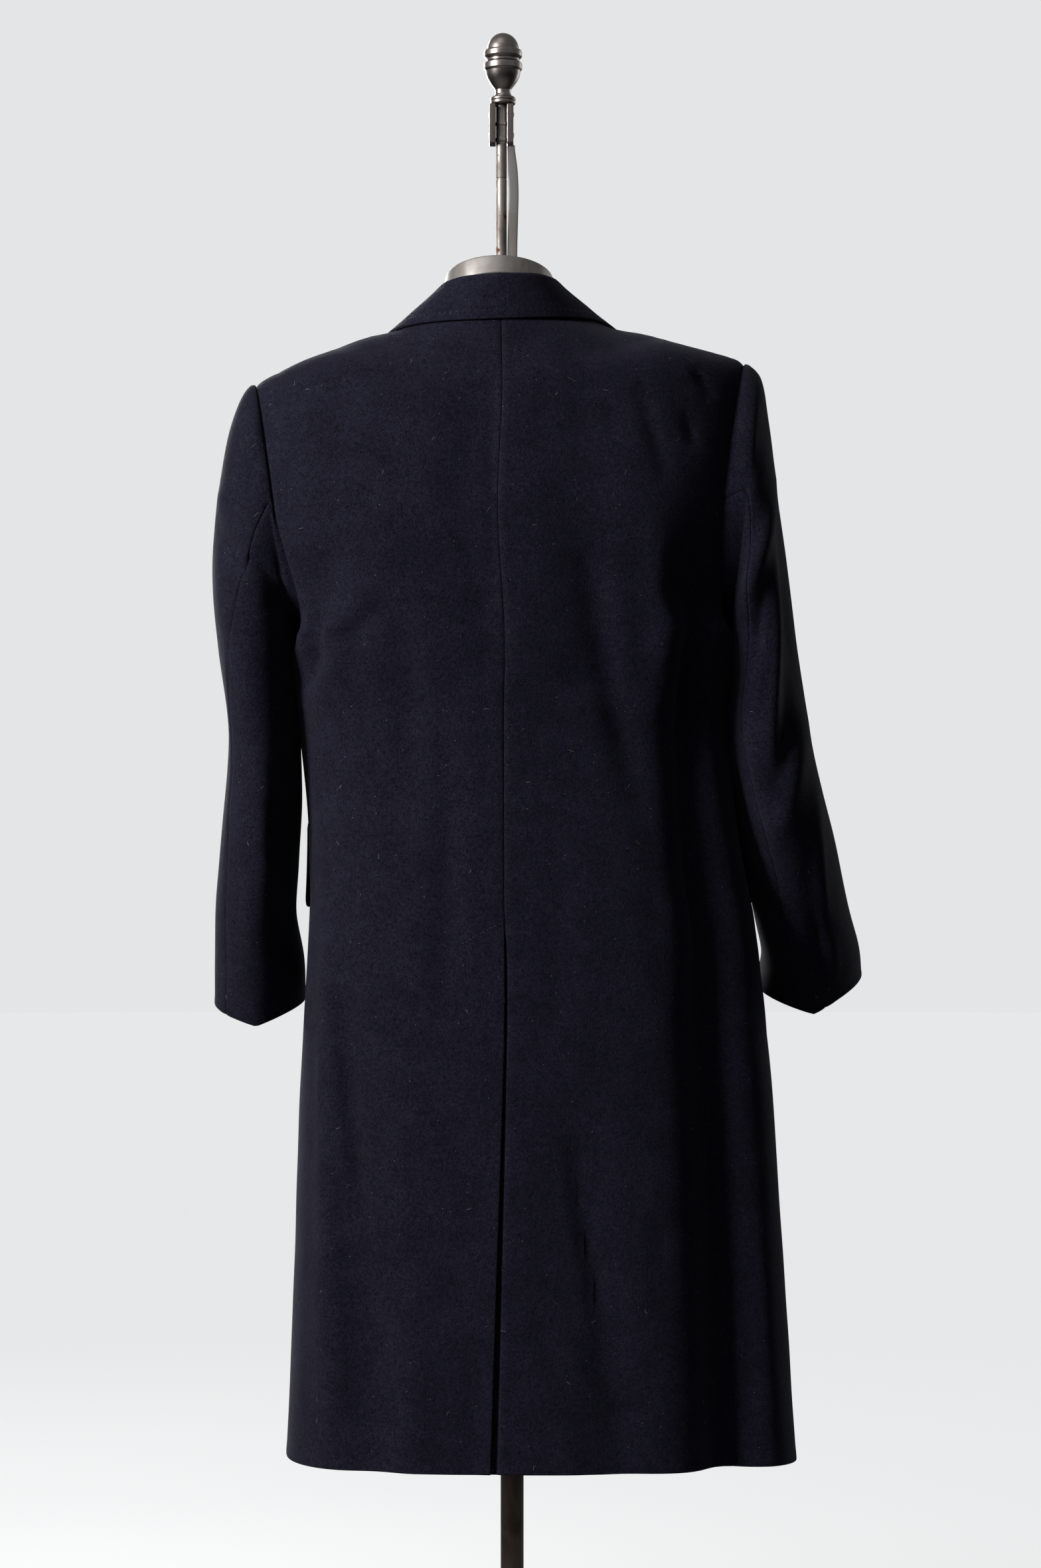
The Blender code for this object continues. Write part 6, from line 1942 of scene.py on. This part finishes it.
class MakePocketFlaps(bpy.types.Operator):
    """Make the pocket flaps"""

    bl_idname = "overcoat.make_pocket_flaps"
    bl_label = "Pocket flaps"

    def execute(self, context):
        settings = context.scene.overcoat_cloth
        declare_cloth(make_flap("pocket_flap_left", 1.0, settings))
        declare_cloth(make_flap("pocket_flap_right", -1.0, settings))
        return {"FINISHED"}


class MakeButtons(bpy.types.Operator):
    """Make the horn buttons, their thread and their buttonholes"""

    bl_idname = "overcoat.make_buttons"
    bl_label = "Buttons"

    def execute(self, context):
        settings = context.scene.overcoat_cloth
        for number, button in enumerate(BUTTONS, start=1):
            make_button(number, button, settings)
        make_button_threads(settings)
        make_buttonholes(settings)
        return {"FINISHED"}


class MakeStitching(bpy.types.Operator):
    """Sew the pick stitches beside the finished edges and the tack at the vent's top"""

    bl_idname = "overcoat.make_stitching"
    bl_label = "Stitching"

    def execute(self, context):
        settings = context.scene.overcoat_cloth
        routes = front_edge_stitches(settings) + collar_stitches()
        routes += lapel_stitches(1.0, LEFT_LAPEL_START, settings)
        routes += lapel_stitches(-1.0, RIGHT_LAPEL_START, settings)
        routes += flap_stitches(1.0, settings) + flap_stitches(-1.0, settings)
        sew_row("edge_stitches", routes, 2.2, 4.2, 0.26)
        sew_row("vent_tack_stitches", vent_tack(settings), 2.6, 0.9, 0.32)
        return {"FINISHED"}


class MakeDressForm(bpy.types.Operator):
    """Make the dress form's linen torso"""

    bl_idname = "overcoat.make_dress_form"
    bl_label = "Dress form"

    def execute(self, context):
        make_dress_form()
        return {"FINISHED"}


class MakeHandle(bpy.types.Operator):
    """Make the neck cap, rod, plates, strap, washer and finial"""

    bl_idname = "overcoat.make_handle"
    bl_label = "Cap, rod and finial"

    def execute(self, context):
        make_neck_cap()
        make_rod()
        make_plates()
        make_strap()
        make_finial()
        return {"FINISHED"}


class MakeStand(bpy.types.Operator):
    """Make the pole and its cast base"""

    bl_idname = "overcoat.make_stand"
    bl_label = "Pole and base"

    def execute(self, context):
        make_stand()
        return {"FINISHED"}


class MakeStage(bpy.types.Operator):
    """Make the floor, the lights and the camera"""

    bl_idname = "overcoat.make_stage"
    bl_label = "Stage"

    def execute(self, context):
        make_stage(context.scene.overcoat_stage)
        return {"FINISHED"}


OPERATORS = (MakeStage, MakeBacks, MakeFronts, MakeSleeves, MakeLapels, MakeCollar, MakePocketFlaps,
             MakeButtons, MakeStitching, MakeDressForm, MakeHandle, MakeStand)


class OvercoatPanel(bpy.types.Panel):
    """Lists the pieces that can be made, with their settings"""

    bl_idname = "VIEW3D_PT_overcoat"
    bl_label = "Wool overcoat"
    bl_space_type = "VIEW_3D"
    bl_region_type = "UI"
    bl_category = "Overcoat"

    def draw(self, context):
        scene = context.scene
        for settings in (scene.overcoat_cloth, scene.overcoat_finish, scene.overcoat_stage):
            box = self.layout.box()
            for key in type(settings).__annotations__:
                box.prop(settings, key)
        for operator in OPERATORS:
            self.layout.operator(operator.bl_idname)


SETTINGS = (OvercoatCloth, OvercoatFinish, OvercoatStage)


def register():
    for item in (*SETTINGS, *OPERATORS, OvercoatPanel):
        bpy.utils.register_class(item)
    bpy.types.Scene.overcoat_cloth = PointerProperty(type=OvercoatCloth)
    bpy.types.Scene.overcoat_finish = PointerProperty(type=OvercoatFinish)
    bpy.types.Scene.overcoat_stage = PointerProperty(type=OvercoatStage)


def unregister():
    del bpy.types.Scene.overcoat_stage
    del bpy.types.Scene.overcoat_finish
    del bpy.types.Scene.overcoat_cloth
    for item in (OvercoatPanel, *reversed(OPERATORS), *reversed(SETTINGS)):
        bpy.utils.unregister_class(item)


def main():
    register()
    for operator in OPERATORS:
        group, name = operator.bl_idname.split(".")
        getattr(getattr(bpy.ops, group), name)()


if __name__ == "__main__":
    main()
